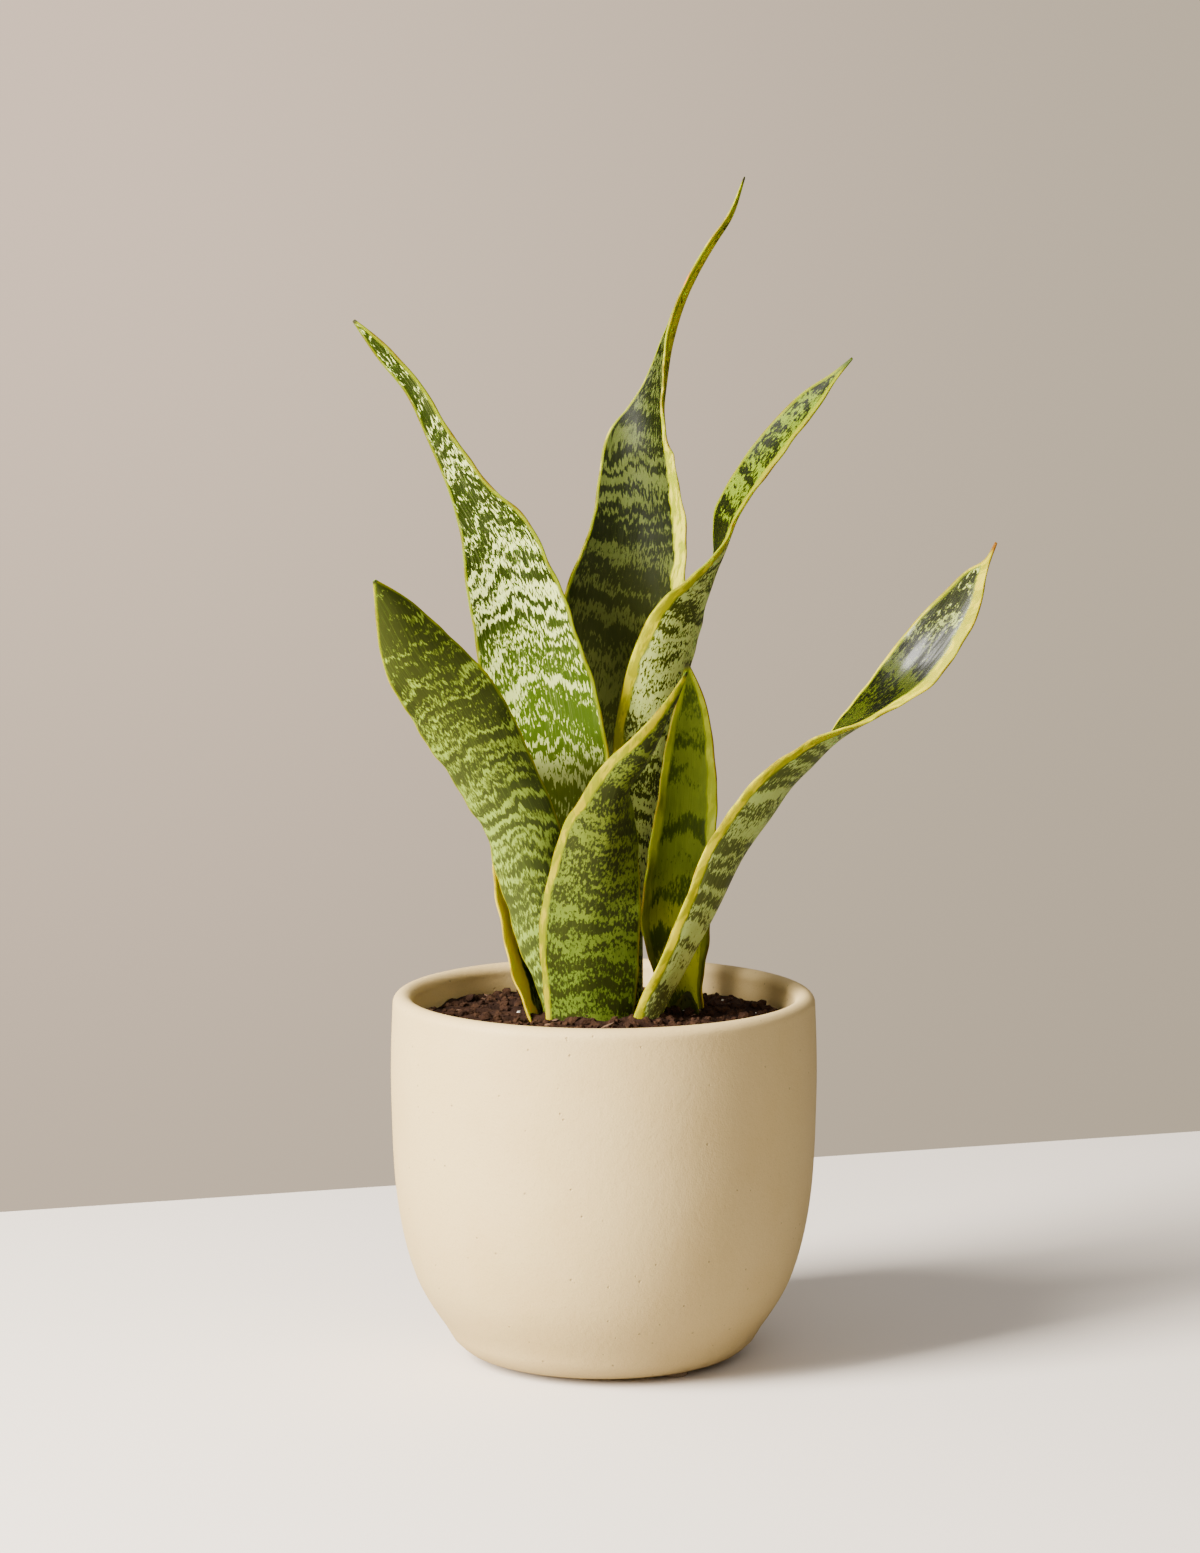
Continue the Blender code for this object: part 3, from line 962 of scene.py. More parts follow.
@dataclass
class Pot:
    """The round pot: a thick wall, a full lip and a rounded floor.

    Shape is the outside's radius as a share of the widest one, by share of the height. Underside
    and floor_rings hold the radii of the flat rings, and bend the drops of the rings under the
    lip's inside, where the wall eases back to its own line bend_to below the lip's middle, in mm.
    Foot_shares are the heights of the close rings at the foot, as shares of the pot's height.
    """

    radius: float = 0.065
    height: float = 0.1108
    wall: float = 0.0062
    floor: float = 0.008
    lift: float = 0.0018
    inset: float = 0.0006
    floor_round: float = 0.014
    segments: int = 176
    shape: tuple[tuple[float, float], ...] = (
        (0.000, 0.610),
        (0.006, 0.638),
        (0.022, 0.680),
        (0.080, 0.753),
        (0.139, 0.821),
        (0.195, 0.873),
        (0.252, 0.909),
        (0.309, 0.936),
        (0.365, 0.956),
        (0.421, 0.971),
        (0.480, 0.982),
        (0.550, 0.990),
        (0.650, 0.996),
        (0.760, 1.000),
        (0.860, 0.998),
        (0.968, 0.991),
    )
    underside: tuple[float, ...] = (0.5, 6, 14, 24, 33)
    floor_rings: tuple[float, ...] = (16, 6, 0.5)
    foot_shares: tuple[float, ...] = (0.0, 0.002, 0.006, 0.012, 0.022, 0.04, 0.06)
    wall_from: float = 0.08
    wall_steps: int = 34
    lip_steps: int = 16
    inner_steps: int = 20
    round_steps: int = 8
    bend: tuple[float, ...] = (0.4, 0.9, 1.5, 2.2, 3.0, 3.8, 4.6, 5.4)
    bend_to: float = 6
    finish: Stoneware = Stoneware()

    def rim(self) -> float:
        """The height of the rim."""
        return self.lift + self.height

    def outside(self, share: float) -> float:
        """The outer radius at a share of the pot's height."""
        shape = np.array(self.shape)
        return self.radius * float(smooth_through(shape[:, 0], shape[:, 1:], [share])[0, 0])

    def inside(self, z: float) -> float:
        """The inner radius of the plain wall at height z."""
        return self.outside((z - self.lift) / self.height) - self.wall - self.inset

    def _outer_line(self) -> Line:
        """The section from the middle of the underside up to the lip.

        Returns:
            Its (radius, height) pairs.
        """
        line = [(r * MM, self.lift) for r in self.underside]
        low, high = self.wall_from, self.shape[-1][0]
        shares = list(self.foot_shares)
        shares += [low + i * (high - low) / self.wall_steps for i in range(self.wall_steps + 1)]
        return line + [(self.outside(s), self.lift + s * self.height) for s in shares]

    def _lip(self, start: float) -> Line:
        """The section over the rounded lip.

        Args:
            start: the outer radius at its start.

        Returns:
            Its (radius, height) pairs.
        """
        line = []
        half = self.wall / 2
        for i in range(1, self.lip_steps + 1):
            angle = math.pi * i / self.lip_steps
            up = self.rim() - half + half * math.sin(angle)
            line.append((start - half + half * math.cos(angle), up))
        return line

    def _inner_line(self, start: float) -> Line:
        """The section from the lip's inside to the middle of the floor.

        Args:
            start: the radius at the lip's inside.

        Returns:
            Its (radius, height) pairs.
        """
        top = self.rim() - self.wall / 2
        line = []
        for drop in self.bend:
            z = top - drop * MM
            share = drop / self.bend_to
            share = share * share * (3 - 2 * share)
            line.append((start + (self.inside(z) - start) * share, z))
        low = self.lift + self.floor + self.floor_round
        bent = top - self.bend_to * MM
        for i in range(self.inner_steps + 1):
            z = bent - i / self.inner_steps * (bent - low)
            line.append((self.inside(z), z))
        middle = self.inside(low) - self.floor_round
        for i in range(1, self.round_steps + 1):
            angle = math.pi / 2 * i / self.round_steps
            z = low - self.floor_round * math.sin(angle)
            line.append((min(self.inside(z), middle + self.floor_round * math.cos(angle)), z))
        return line + [(r * MM, self.lift + self.floor) for r in self.floor_rings]

    def build(self) -> bpy.types.Object:
        """Models the pot by drawing one ring along its whole section.

        Returns:
            The pot.
        """
        outer = self._outer_line()
        lip = self._lip(outer[-1][0])
        obj = turn_profile(outer + lip + self._inner_line(lip[-1][0]), self.segments)
        make_active(obj)
        bpy.ops.object.shade_smooth_by_angle(angle=math.radians(40))
        return settle(obj, "stoneware_pot")

    def make(self) -> None:
        """Builds, dresses and hands over the pot."""
        obj = self.build()
        obj.data.materials.append(self.finish.dress())
        hand_over(obj, "pot", "pot")


# ---- Soil


@dataclass(frozen=True)
class Earth:
    """Damp potting mix: dark red-brown, lighter where it has dried."""

    name: str = "damp_soil"
    lighter: float = 0.0
    damp: Colour = (0.020, 0.008, 0.004)
    dry: Colour = (0.045, 0.020, 0.009)
    rough: float = 0.88

    def dress(self) -> bpy.types.Material:
        """Makes the material.

        Returns:
            The material.
        """
        paint = Paint(self.name)
        place = paint.place()
        patch = paint.cloud(place, 260.0, 3.0, 0.6)
        grain = paint.cloud(place, 1700.0, 3.0, 0.65)
        dried = patch.step(0.42 - self.lighter, 0.72 - self.lighter)
        base = paint.mix(dried, self.damp, self.dry)
        base = paint.mix(grain.step(0.60, 0.82, 0.0, 0.35), base, self.dry)
        paint.bump(grain * 0.6 + patch * 0.4, 0.0008, 0.9)
        rough = grain * 0.15 + (self.rough - 0.08)
        return paint.finish(Base_Color=base, Roughness=rough, Specular_IOR_Level=0.12)


@dataclass(frozen=True)
class Grit:
    """Perlite or bark: one plain tone with a darker one in its hollows."""

    name: str
    tone: Colour
    hollow: Colour
    rough: float = 0.8

    def dress(self) -> bpy.types.Material:
        """Makes the material.

        Returns:
            The material.
        """
        paint = Paint(self.name)
        place = paint.place()
        grain = paint.cloud(place, 1300.0, 3.0, 0.65)
        base = paint.mix(grain.step(0.45, 0.7), self.tone, self.hollow)
        paint.bump(grain, 0.0004, 0.8)
        return paint.finish(Base_Color=base, Roughness=grain * 0.1 + (self.rough - 0.05))


@dataclass(frozen=True)
class Strewn:
    """Loose grains of one kind: how many, the smallest and the largest, and their finish.

    Flat is their height and long their length, both against their width.
    """

    name: str
    count: int
    sizes: tuple[float, float]
    flat: float
    long: float
    finish: Earth | Grit


@dataclass
class Soil:
    """The mounded bed of soil with its loose grains.

    Mound is how high the soil rises round mound_middle, swell and lump how high its broad waves and
    its lumps are. The bed is drawn on rings, clear of the wall by gap. Grains under coarse_from
    take only the first, plainer shapes, and each middle stands proud of the bed by a share of its size.
    """

    pot: Pot
    below_rim: float = 0.009
    mound: float = 0.003
    mound_radius: float = 0.030
    mound_middle: tuple[float, float] = (0.006, 0.004)
    swell: float = 0.0005
    lump: float = 0.0011
    depth: float = 0.020
    gap: float = 0.0003
    underside: tuple[float, ...] = (0.5, 12, 28, 44)
    side_rings: int = 5
    rings: int = 44
    segments: int = 150
    shapes: int = 5
    plain_shapes: int = 3
    coarse_from: float = 0.0012
    proud: float = 0.12
    grain_gap: float = 0.0016
    grain_lump: float = 0.55
    seed: int = 11
    finish: Earth = Earth()
    loose: tuple[Strewn, ...] = (
        Strewn("soil_crumbs", 1500, (0.0006, 0.0034), 0.8, 1.15, Earth("crumbs", 0.08)),
        Strewn(
            "perlite_grains",
            26,
            (0.0005, 0.0015),
            0.8,
            1.0,
            Grit("perlite", (0.62, 0.58, 0.50), (0.30, 0.25, 0.19)),
        ),
        Strewn(
            "bark_chips",
            46,
            (0.001, 0.0032),
            0.35,
            2.1,
            Grit("bark", (0.13, 0.065, 0.032), (0.045, 0.022, 0.012)),
        ),
    )

    def level(self) -> float:
        """The height of the soil at the wall."""
        return self.pot.rim() - self.below_rim

    def height(self, x: float, y: float) -> float:
        """The height of the soil's surface.

        Args:
            x: the place across, from the pot's axis.
            y: the place along the view, from the pot's axis.

        Returns:
            The height above the ground, in metres.
        """
        reach = math.dist((x, y), self.mound_middle) / self.mound_radius
        wave = math.sin(310 * x + 1.0) * math.cos(270 * y - 0.4) + 0.7 * math.sin(530 * (x - y))
        rough = noise.fractal(Vector((x, y, 0.3)) * 240.0, 0.8, 2.1, 4)
        rise = self.mound * math.exp(-(reach**2)) + self.swell * wave
        return self.level() + rise + self.lump * rough

    def build(self) -> bpy.types.Object:
        """Models the bed: rings drawn in from the wall, then lumped.

        Returns:
            The bed of soil.
        """
        edge = self.pot.inside(self.level()) - self.gap
        low = self.level() - self.depth
        line = [(r * MM, low) for r in self.underside]
        lift = self.depth / self.side_rings
        line += [(edge, low + i * lift) for i in range(self.side_rings + 1)]
        line += [(edge * (1 - i / self.rings), self.level()) for i in range(1, self.rings)]
        obj = turn_profile(line + [(0.0004, self.level())], self.segments)
        for vertex in obj.data.vertices:
            place = obj.matrix_world @ vertex.co
            if place.z > self.level() - 0.01 * MM:
                top = self.height(place.x - AXIS.x, place.y - AXIS.y)
                vertex.co.z += top - self.level()
        make_active(obj)
        bpy.ops.object.shade_smooth()
        return settle(obj, "soil_bed")

    def _grain(self, fine: int, flat: float, seed: float) -> tuple[np.ndarray, np.ndarray]:
        """One rough grain, about a unit across.

        Args:
            fine: how finely it is divided.
            flat: its height against its width.
            seed: makes its shape its own.

        Returns:
            Its corners and its triangles.
        """
        deselect()
        bpy.ops.mesh.primitive_ico_sphere_add(subdivisions=fine, radius=0.5, location=(0, 0, 0))
        obj = bpy.context.object
        for vertex in obj.data.vertices:
            lump = noise.noise(vertex.co * 2.6 + Vector((seed, 0, 0)))
            vertex.co *= 1 + self.grain_lump * lump
            vertex.co.z *= flat
        corners = np.array([v.co for v in obj.data.vertices])
        faces = np.array([list(p.vertices) for p in obj.data.polygons])
        bpy.data.objects.remove(obj)
        return corners, faces

    def scatter(self, kind: Strewn) -> bpy.types.Object:
        """Strews grains of one kind over the bed as one piece.

        Args:
            kind: the kind.

        Returns:
            The piece.
        """
        draw = random.Random(f"{self.seed}{kind.name}")
        fine = [1] * self.plain_shapes + [2] * (self.shapes - self.plain_shapes)
        shapes = [self._grain(level, kind.flat, 3.1 * i) for i, level in enumerate(fine)]
        corners: list[np.ndarray] = []
        faces: list[np.ndarray] = []
        used = 0
        reach = self.pot.inside(self.level()) - self.grain_gap
        for _ in range(kind.count):
            radius = reach * math.sqrt(draw.random())
            bearing = draw.uniform(0, 2 * math.pi)
            x, y = radius * math.cos(bearing), radius * math.sin(bearing)
            small, large = kind.sizes
            size = small + (large - small) * draw.random() ** 2.2
            choice = self.shapes if size > self.coarse_from else self.plain_shapes
            points, triangles = shapes[draw.randrange(choice)]
            turn = Matrix.Rotation(draw.uniform(0, 2 * math.pi), 3, "Z")
            turn = np.array(turn @ Matrix.Rotation(draw.uniform(-0.5, 0.5), 3, "Y"))
            up = self.height(x, y) + self.proud * size * kind.flat
            shaped = points * np.array([kind.long, 1.0, 1.0]) * size
            corners.append(shaped @ turn.T + np.array([x + AXIS.x, y + AXIS.y, up]))
            faces.append(triangles + used)
            used += len(points)
        mesh = bpy.data.meshes.new(kind.name)
        mesh.from_pydata(np.vstack(corners).tolist(), [], np.vstack(faces).tolist())
        obj = bpy.data.objects.new(kind.name, mesh)
        bpy.context.scene.collection.objects.link(obj)
        return obj

    def make(self) -> None:
        """Builds, dresses and hands over the bed and its loose grains."""
        bed = self.build()
        bed.data.materials.append(self.finish.dress())
        hand_over(bed, "soil", "soil")
        for kind in self.loose:
            piece = self.scatter(kind)
            piece.data.materials.append(kind.finish.dress())
            hand_over(piece, "soil")


# ---- Pads


@dataclass(frozen=True)
class Pads:
    """The three soft pads under the pot, kept from the solid model."""

    tone: Colour = (0.40, 0.27, 0.16)
    hollow: Colour = (0.2, 0.12, 0.06)
    names: tuple[str, ...] = ("pad_front", "pad_right", "pad_left")

    def make(self) -> None:
        """Gives the solid pads their finish."""
        paint = Paint("felt_pad")
        place = paint.place()
        grain = paint.cloud(place, 1500.0, 3.0, 0.65)
        base = paint.mix(grain.step(0.4, 0.75, 0.0, 0.6), self.tone, self.hollow)
        paint.bump(grain, 0.0002, 0.6)
        material = paint.finish(Base_Color=base, Roughness=grain * 0.1 + 0.8)
        for name in self.names:
            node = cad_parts[name]
            node.data.materials.clear()
            node.data.materials.append(material)
            LOG.info("%s: finished", name)


# ---- Studio


@dataclass(frozen=True)
class Lamp:
    """A lamp with a flat face: its place from the pot's axis, its width and height, and its watts.

    Aim is the height on the pot's axis at which it points.
    """

    name: str
    place: Place
    size: tuple[float, float]
    power: float
    tone: Colour
    aim: float

    def hang(self) -> None:
        """Hangs the lamp in its place."""
        light = bpy.data.lights.new(self.name, "AREA")
        light.shape = "RECTANGLE"
        light.size, light.size_y = self.size
        light.energy = self.power
        light.color = self.tone
        obj = bpy.data.objects.new(self.name, light)
        obj.location = Vector(self.place) + AXIS
        toward = Vector((0, 0, self.aim)) + AXIS - obj.location
        obj.rotation_euler = toward.to_track_quat("-Z", "Y").to_euler()
        bpy.context.scene.collection.objects.link(obj)


@dataclass
class Studio:
    """A pale table against a plain backdrop, a broad lamp, a weak one that fills, and the camera.

    The camera sees table_tone and the backdrop's tones, and the light that the table and the
    backdrop give is table_bounce's and fill_tone's, with fill_side at the sides and fill_top above.
    """

    table_tone: Colour = (0.94, 0.845, 0.745)
    table_patch: Colour = (0.90, 0.81, 0.71)
    table_bounce: Colour = (0.35, 0.33, 0.295)
    table_size: Place = (6.0, 3.0, 1.0)
    table_middle: Place = (0.455, -1.166, 0.0)
    table_turn: float = 17.7
    # Painted light and shade on the backdrop: lighter to the left, darker to the right, and darker
    # still below the horizon.
    backdrop_painted_light: Colour = (1.14, 0.88, 0.68)
    backdrop_painted_shade: Colour = (0.68, 0.56, 0.42)
    backdrop_painted_low_shade: Colour = (0.50, 0.42, 0.30)
    backdrop_half: float = 0.14
    fill_side: float = 0.08
    fill_top: float = 0.52
    fill_tone: Colour = (1.0, 0.96, 0.92)
    lamps: tuple[Lamp, ...] = (
        Lamp("key", (-1.18, -0.74, 0.9), (0.6, 1.3), 150.0, (1.0, 0.96, 0.90), 0.14),
        Lamp("fill", (0.35, -1.6, 0.9), (1.4, 0.9), 7.0, (1.0, 0.97, 0.93), 0.2),
    )
    lens: float = 115.9
    sensor: float = 36.0
    camera_place: Place = (-0.0012, -1.502, 0.3806)
    camera_dip: float = 7.65

    def table(self) -> None:
        """Makes the table top, whose far edge shows behind the pot."""
        deselect()
        bpy.ops.mesh.primitive_grid_add(x_subdivisions=4, y_subdivisions=4, size=1.0)
        top = bpy.context.object
        top.scale = self.table_size
        top.rotation_euler.z = math.radians(self.table_turn)
        top.location = AXIS + Vector(self.table_middle)
        settle(top, "table_top")
        paint = Paint("table_paint")
        patch = paint.cloud(paint.place(), 9.0).step(0.3, 0.8, 0.0, 0.35)
        tone = paint.mix(patch, self.table_tone, self.table_patch)
        seen = paint.node("LightPath", {}, None).outputs["Is Camera Ray"]
        tone = paint.mix(seen, self.table_bounce, tone)
        top.data.materials.append(paint.finish(Base_Color=tone, Roughness=0.75))

    def world(self) -> None:
        """Sets the plain backdrop with painted light, lighter to the left and darker to the right and
        below, and the weak light it gives.
        """
        world = bpy.context.scene.world or bpy.data.worlds.new("studio")
        bpy.context.scene.world = world
        world.use_nodes = True
        paint = Paint.of_tree(world.node_tree)
        way = paint.node("TexCoord", {}, None).outputs["Generated"]
        x, _, z = paint.parts(way)
        # Painted light: the backdrop is lighter to the left, with painted shade to the right and below.
        right = x.step(-self.backdrop_half, self.backdrop_half)
        tone = paint.mix(right, self.backdrop_painted_light, self.backdrop_painted_shade)
        tone = paint.mix(z.step(-0.25, 0.0, 0.6, 0.0), tone, self.backdrop_painted_low_shade)
        seen = Value(paint, paint.node("LightPath", {}, None).outputs["Is Camera Ray"])
        light = z.step(0.25, 0.95, self.fill_side, self.fill_top)
        tone = paint.mix(seen, self.fill_tone, tone)
        glow = world.node_tree.nodes["Background"]
        paint.tree.links.new(tone, glow.inputs["Color"])
        strength = seen + (1.0 - seen) * light
        paint.tree.links.new(strength.socket, glow.inputs["Strength"])

    def camera(self) -> None:
        """Places the camera in front of the pot, a little above its rim."""
        data = bpy.data.cameras.new("camera")
        data.lens = self.lens
        data.sensor_width = self.sensor
        obj = bpy.data.objects.new("camera", data)
        obj.location = Vector(self.camera_place) + AXIS
        obj.rotation_euler = (math.radians(90 - self.camera_dip), 0.0, 0.0)
        bpy.context.scene.collection.objects.link(obj)
        bpy.context.scene.camera = obj

    def make(self) -> None:
        """Sets up the whole studio."""
        self.table()
        self.world()
        for lamp in self.lamps:
            lamp.hang()
        self.camera()


# ---- This plant

LEFT_TALL: tuple[Station, ...] = (
    (-11.5, 8.5, 92, 8, 35, 190),
    (-13.2, 8.8, 106, 8, 37, 185),
    (-17.6, 9.6, 131, 5, 38, 146),
    (-17.2, 10.2, 149, 0, 39, 112),
    (-16.3, 10.0, 172, -2, 40, 82),
    (-17.6, 12.0, 191, -4, 39.5, 71),
    (-21.4, 14.0, 213, -8, 35, 70),
    (-26.8, 15.5, 234, -11, 30.5, 67),
    (-31.6, 17.0, 249.5, -16, 25.5, 69),
    (-39.8, 19.0, 263.5, -21, 15, 70),
    (-49.8, 21.0, 281, -23, 9, 76),
    (-58.0, 22.5, 295.5, -21, 6.5, 80),
    (-67.5, 24.0, 306.5, -19, 5.5, 78),
    (-76.3, 25.0, 315.7, -17, 1, 61),
)
LEFT_FRONT: tuple[Station, ...] = (
    (-9.5, -2.0, 92, 188, 13.5, 155),
    (-12.2, -2.5, 107, 186, 15.5, 152),
    (-17.8, -5.5, 130, 179, 21, 112),
    (-22.3, -9.0, 149.5, 173, 24.2, 96),
    (-26.3, -13.0, 165.5, 169, 26, 93),
    (-35.0, -18.0, 183.6, 170.5, 28, 81),
    (-39.5, -21.0, 193, 172, 29.4, 72),
    (-46.7, -25.0, 206, 178, 28, 63),
    (-55.5, -29.0, 219.5, 185, 22.5, 61),
    (-62.0, -33.0, 232.5, 190.5, 12.4, 63),
    (-67.7, -36.0, 242, 193, 1, 64),
)
BACK_TALL: tuple[Station, ...] = (
    (-5.5, 20.0, 92, 10, 22, 165),
    (-6.2, 22.0, 106, 10, 24, 160),
    (-5.6, 28.0, 136.5, 8, 28.5, 124),
    (-1.4, 33.5, 167.5, 5, 37, 101),
    (4.2, 35.5, 200, -2, 41.8, 76),
    (7.4, 36.5, 227, -12, 41.2, 65),
    (10.5, 37.0, 239, -19, 37.5, 67),
    (12.6, 37.5, 253.5, -24, 33.2, 67),
    (12.5, 37.5, 267.5, -29, 29.5, 67),
    (12.3, 37.5, 276.3, -33, 26, 67),
    (14.6, 37.5, 284.5, -48, 20.5, 70),
    (17.4, 37.5, 294.5, -67, 16, 78),
    (20.4, 37.5, 308.5, -84, 12.6, 86),
    (24.7, 37.5, 321.8, -95, 9.6, 88),
    (28.9, 37.0, 330.5, -101, 7.4, 84),
    (34.2, 36.5, 339.5, -104, 6.4, 78),
    (38.6, 36.0, 346.3, -104, 5, 72),
    (43.0, 34.5, 359, -101, 0.9, 60),
)
FRONT: tuple[Station, ...] = (
    (-4.4, -7.5, 92, 177, 25, 48),
    (-4.4, -9.5, 107, 177, 28.2, 47),
    (-4.5, -12, 119, 177, 30.6, 46),
    (-4.3, -15, 135, 179, 31.8, 48),
    (-1.8, -18, 151, 190, 29.6, 64),
    (2.7, -22, 168, 212, 27.4, 109),
    (4.4, -25.5, 177.5, 219, 19.2, 106),
    (11.3, -30, 188, 227, 16.0, 100),
    (16.9, -34, 198.5, 234, 9.8, 90),
    (21, -37.5, 206.8, 236, 5.3, 80),
    (24.5, -39.5, 215.4, 233, 0.9, 60),
)
RIGHT_MID: tuple[Station, ...] = (
    (9.8, 9.5, 92, -117, 17, 126),
    (10.2, 10.5, 108, -119, 18.4, 124),
    (9.9, 15.0, 138.5, -127, 21.5, 116),
    (12.0, 17.5, 161, -140, 24.7, 108),
    (15.3, 18.5, 180.3, -148, 27, 103),
    (17.8, 18.5, 197, -146, 27.8, 95),
    (21.6, 17.0, 213.6, -138, 27.7, 83),
    (26.9, 15.0, 227.5, -124, 27.3, 75),
    (32.2, 12.5, 237.8, -105, 25.5, 66),
    (35.9, 10.0, 246.7, -88, 22.5, 63),
    (39.3, 6.5, 258.6, -70, 18, 63),
    (45.8, 3.0, 270.4, -56, 14.3, 63),
    (53.8, 0.0, 282, -45, 11.8, 61),
    (63.3, -3.5, 293.8, -38, 7.7, 62),
    (69.0, -5.5, 300.2, -38, 3, 63),
    (74.2, -6.5, 305.8, -40, 0.8, 64),
)
RIGHT_BACK: tuple[Station, ...] = (
    (26.8, 12.0, 92, -3, 15, 190),
    (25.4, 11.0, 105.7, -3, 16.5, 190),
    (22.9, 9.5, 119, -2, 21, 148),
    (22.2, 9.0, 131, -1, 24, 107),
    (22.8, 9.5, 144.3, 0, 23.5, 87),
    (24.0, 10.5, 155, 1, 21.8, 74),
    (25.4, 12.0, 170.5, 1, 19.3, 67),
    (26.0, 13.2, 179.5, 1, 17.4, 62),
    (26.3, 14.5, 190.4, 1, 14, 57),
    (26.5, 16.5, 200.7, 0, 8.7, 51),
    (25.4, 18.5, 211.6, 0, 0.9, 50),
)
RIGHT_LOW: tuple[Station, ...] = (
    (12.0, -7.5, 92, -107, 15, 138),
    (15.2, -7.0, 103.5, -107, 18.5, 134),
    (24.6, -9.0, 123, -106, 22.3, 120),
    (33.2, -11.0, 140.5, -110, 26.3, 108),
    (40.9, -13.5, 157.5, -114, 29, 92),
    (48.4, -16.0, 169.2, -116, 29.4, 80),
    (54.9, -18.5, 179, -114, 27.7, 72),
    (61.7, -20.0, 185.8, -109, 25.8, 66),
    (67.8, -21.0, 191.8, -100, 23.7, 59),
    (76.6, -22.0, 198.8, -81, 21.7, 53),
    (85.9, -23.0, 207.4, -56, 19.8, 46),
    (92.4, -24.0, 214.4, -41, 19.4, 43),
    (100.0, -25.0, 224.7, -30, 17.5, 40),
    (105.8, -26.0, 233.6, -25, 13.4, 40),
    (110.2, -27.0, 242, -22, 7.3, 40),
    (113.0, -28.0, 246.2, -20, 2.4, 41),
    (115.9, -29.0, 252.6, -21, 0.8, 42),
)
SHEATH: tuple[Station, ...] = (
    (25.0, 2.0, 92, 6, 12, 150),
    (24.9, 2.4, 101, 6, 11.5, 140),
    (24.9, 2.8, 107.5, 6, 8.5, 120),
    (25.8, 3.2, 112.3, 6, 0.9, 60),
)

BELLIED: Widths = ((0.0, 0.8), (0.45, 1.0), (0.55, 1.8), (0.66, 0.9), (1.0, 0.6))
SILVER = Skin(
    Tones((0.56, 0.63, 0.20), (0.052, 0.090, 0.003), (0.015, 0.024, 0.001)),
    Tones((0.52, 0.60, 0.17), (0.090, 0.155, 0.005), (0.048, 0.088, 0.003)),
    # Painted shade: the foot of this leaf, shaded by the leaves in front of it, darkens below 0.101 m.
    root=(0.022, 0.023, 0.001),
    foot_shade_to=0.101,
    foot_from=0.10,
    foot_to=0.145,
    band=0.0088,
    tighten=9.0,
    fleck=(1500.0, 380.0),
    dark_share=0.53,
    chevron=0.5,
    wander=0.016,
    jag=0.008,
    speckle=0.7,
    tuft=0.1,
    dark_tip=0.07,
    left=((0.0, 9.0), (0.18, 8.0), (0.26, 2.6), (0.34, 0.5), (1.0, 0.2)),
    right=((0.0, 0.7), (0.4, 0.9), (0.8, 0.8), (1.0, 0.5)),
    margin=(0.16, 0.19, 0.0),
    spots=(Spot(0.238, 0.0025, 0.0014),),
    tip_length=0.0018,
)
DULL = Skin(
    Tones((0.29, 0.40, 0.040), (0.135, 0.180, 0.016), (0.038, 0.046, 0.007)),
    Tones((0.26, 0.36, 0.045), (0.115, 0.152, 0.018), (0.047, 0.060, 0.012)),
    foot_from=0.07,
    foot_to=0.13,
    band=0.0046,
    tighten=4.0,
    dark_share=0.47,
    green_share=0.2,
    chevron=0.35,
    speckle=0.6,
    jag=0.005,
    dark_tip=0.11,
    margin=(0.36, 0.29, 0.0),
    tip_length=0.0014,
    rough=0.5,
)
OLIVE = Skin(
    Tones((0.058, 0.073, 0.014), (0.016, 0.021, 0.002), (0.006, 0.008, 0.001)),
    Tones((0.086, 0.096, 0.016), (0.075, 0.085, 0.012), (0.032, 0.037, 0.005)),
    foot_from=0.115,
    foot_to=0.165,
    band=0.0056,
    tighten=1.6,
    fleck=(1700.0, 480.0),
    dark_share=0.45,
    chevron=0.05,
    jag=0.006,
    dark_tip=0.05,
    left=((0.0, 0.6), (0.5, 0.6), (0.7, 0.3), (1.0, 0.2)),
    right=((0.0, 2.0), (0.35, 3.0), (0.5, 5.4), (0.62, 5.2), (0.70, 1.8), (0.8, 0.9), (1.0, 0.3)),
    margin=(0.50, 0.45, 0.03),
    margin_inner=(0.22, 0.25, 0.0),
    mottle=0.9,
    spots=(Spot(0.240, 0.004, 0.003),),
    shine=0.06,
)
KEELED = Skin(
    Tones((0.140, 0.178, 0.018), (0.066, 0.085, 0.010), (0.028, 0.033, 0.007)),
    Tones((0.105, 0.155, 0.013), (0.050, 0.076, 0.007), (0.024, 0.029, 0.004)),
    band=0.0036,
    spread=60.0,
    fleck=(1500.0, 800.0),
    speckle=1.0,
    dark_share=0.46,
    green_share=0.2,
    jag=0.004,
    dark_tip=0.06,
    left=((0.0, 0.6), (1.0, 0.6)),
    right=((0.0, 2.0), (0.5, 2.4), (0.8, 2.8), (1.0, 1.0)),
    margin=(0.36, 0.30, 0.0),
    mottle=0.75,
    rough=0.48,
)
PALE = Skin(
    Tones((0.53, 0.61, 0.16), (0.21, 0.25, 0.03), (0.048, 0.057, 0.007)),
    Tones((0.22, 0.25, 0.03), (0.08, 0.09, 0.006), (0.022, 0.026, 0.002)),
    band=0.0023,
    spread=75.0,
    fleck=(1700.0, 640.0),
    speckle=1.0,
    dark_share=0.37,
    jag=0.005,
    dark_tip=0.04,
    left=((0.0, 1.0), (1.0, 0.8)),
    right=((0.0, 2.6), (0.6, 3.4), (0.8, 2.4), (1.0, 0.8)),
    margin=(0.54, 0.48, 0.0),
)
BACKED = replace(
    PALE, margin=(0.46, 0.33, 0.0), left=((0.0, 5.4), (0.25, 4.8), (0.4, 1.0), (1.0, 0.8))
)
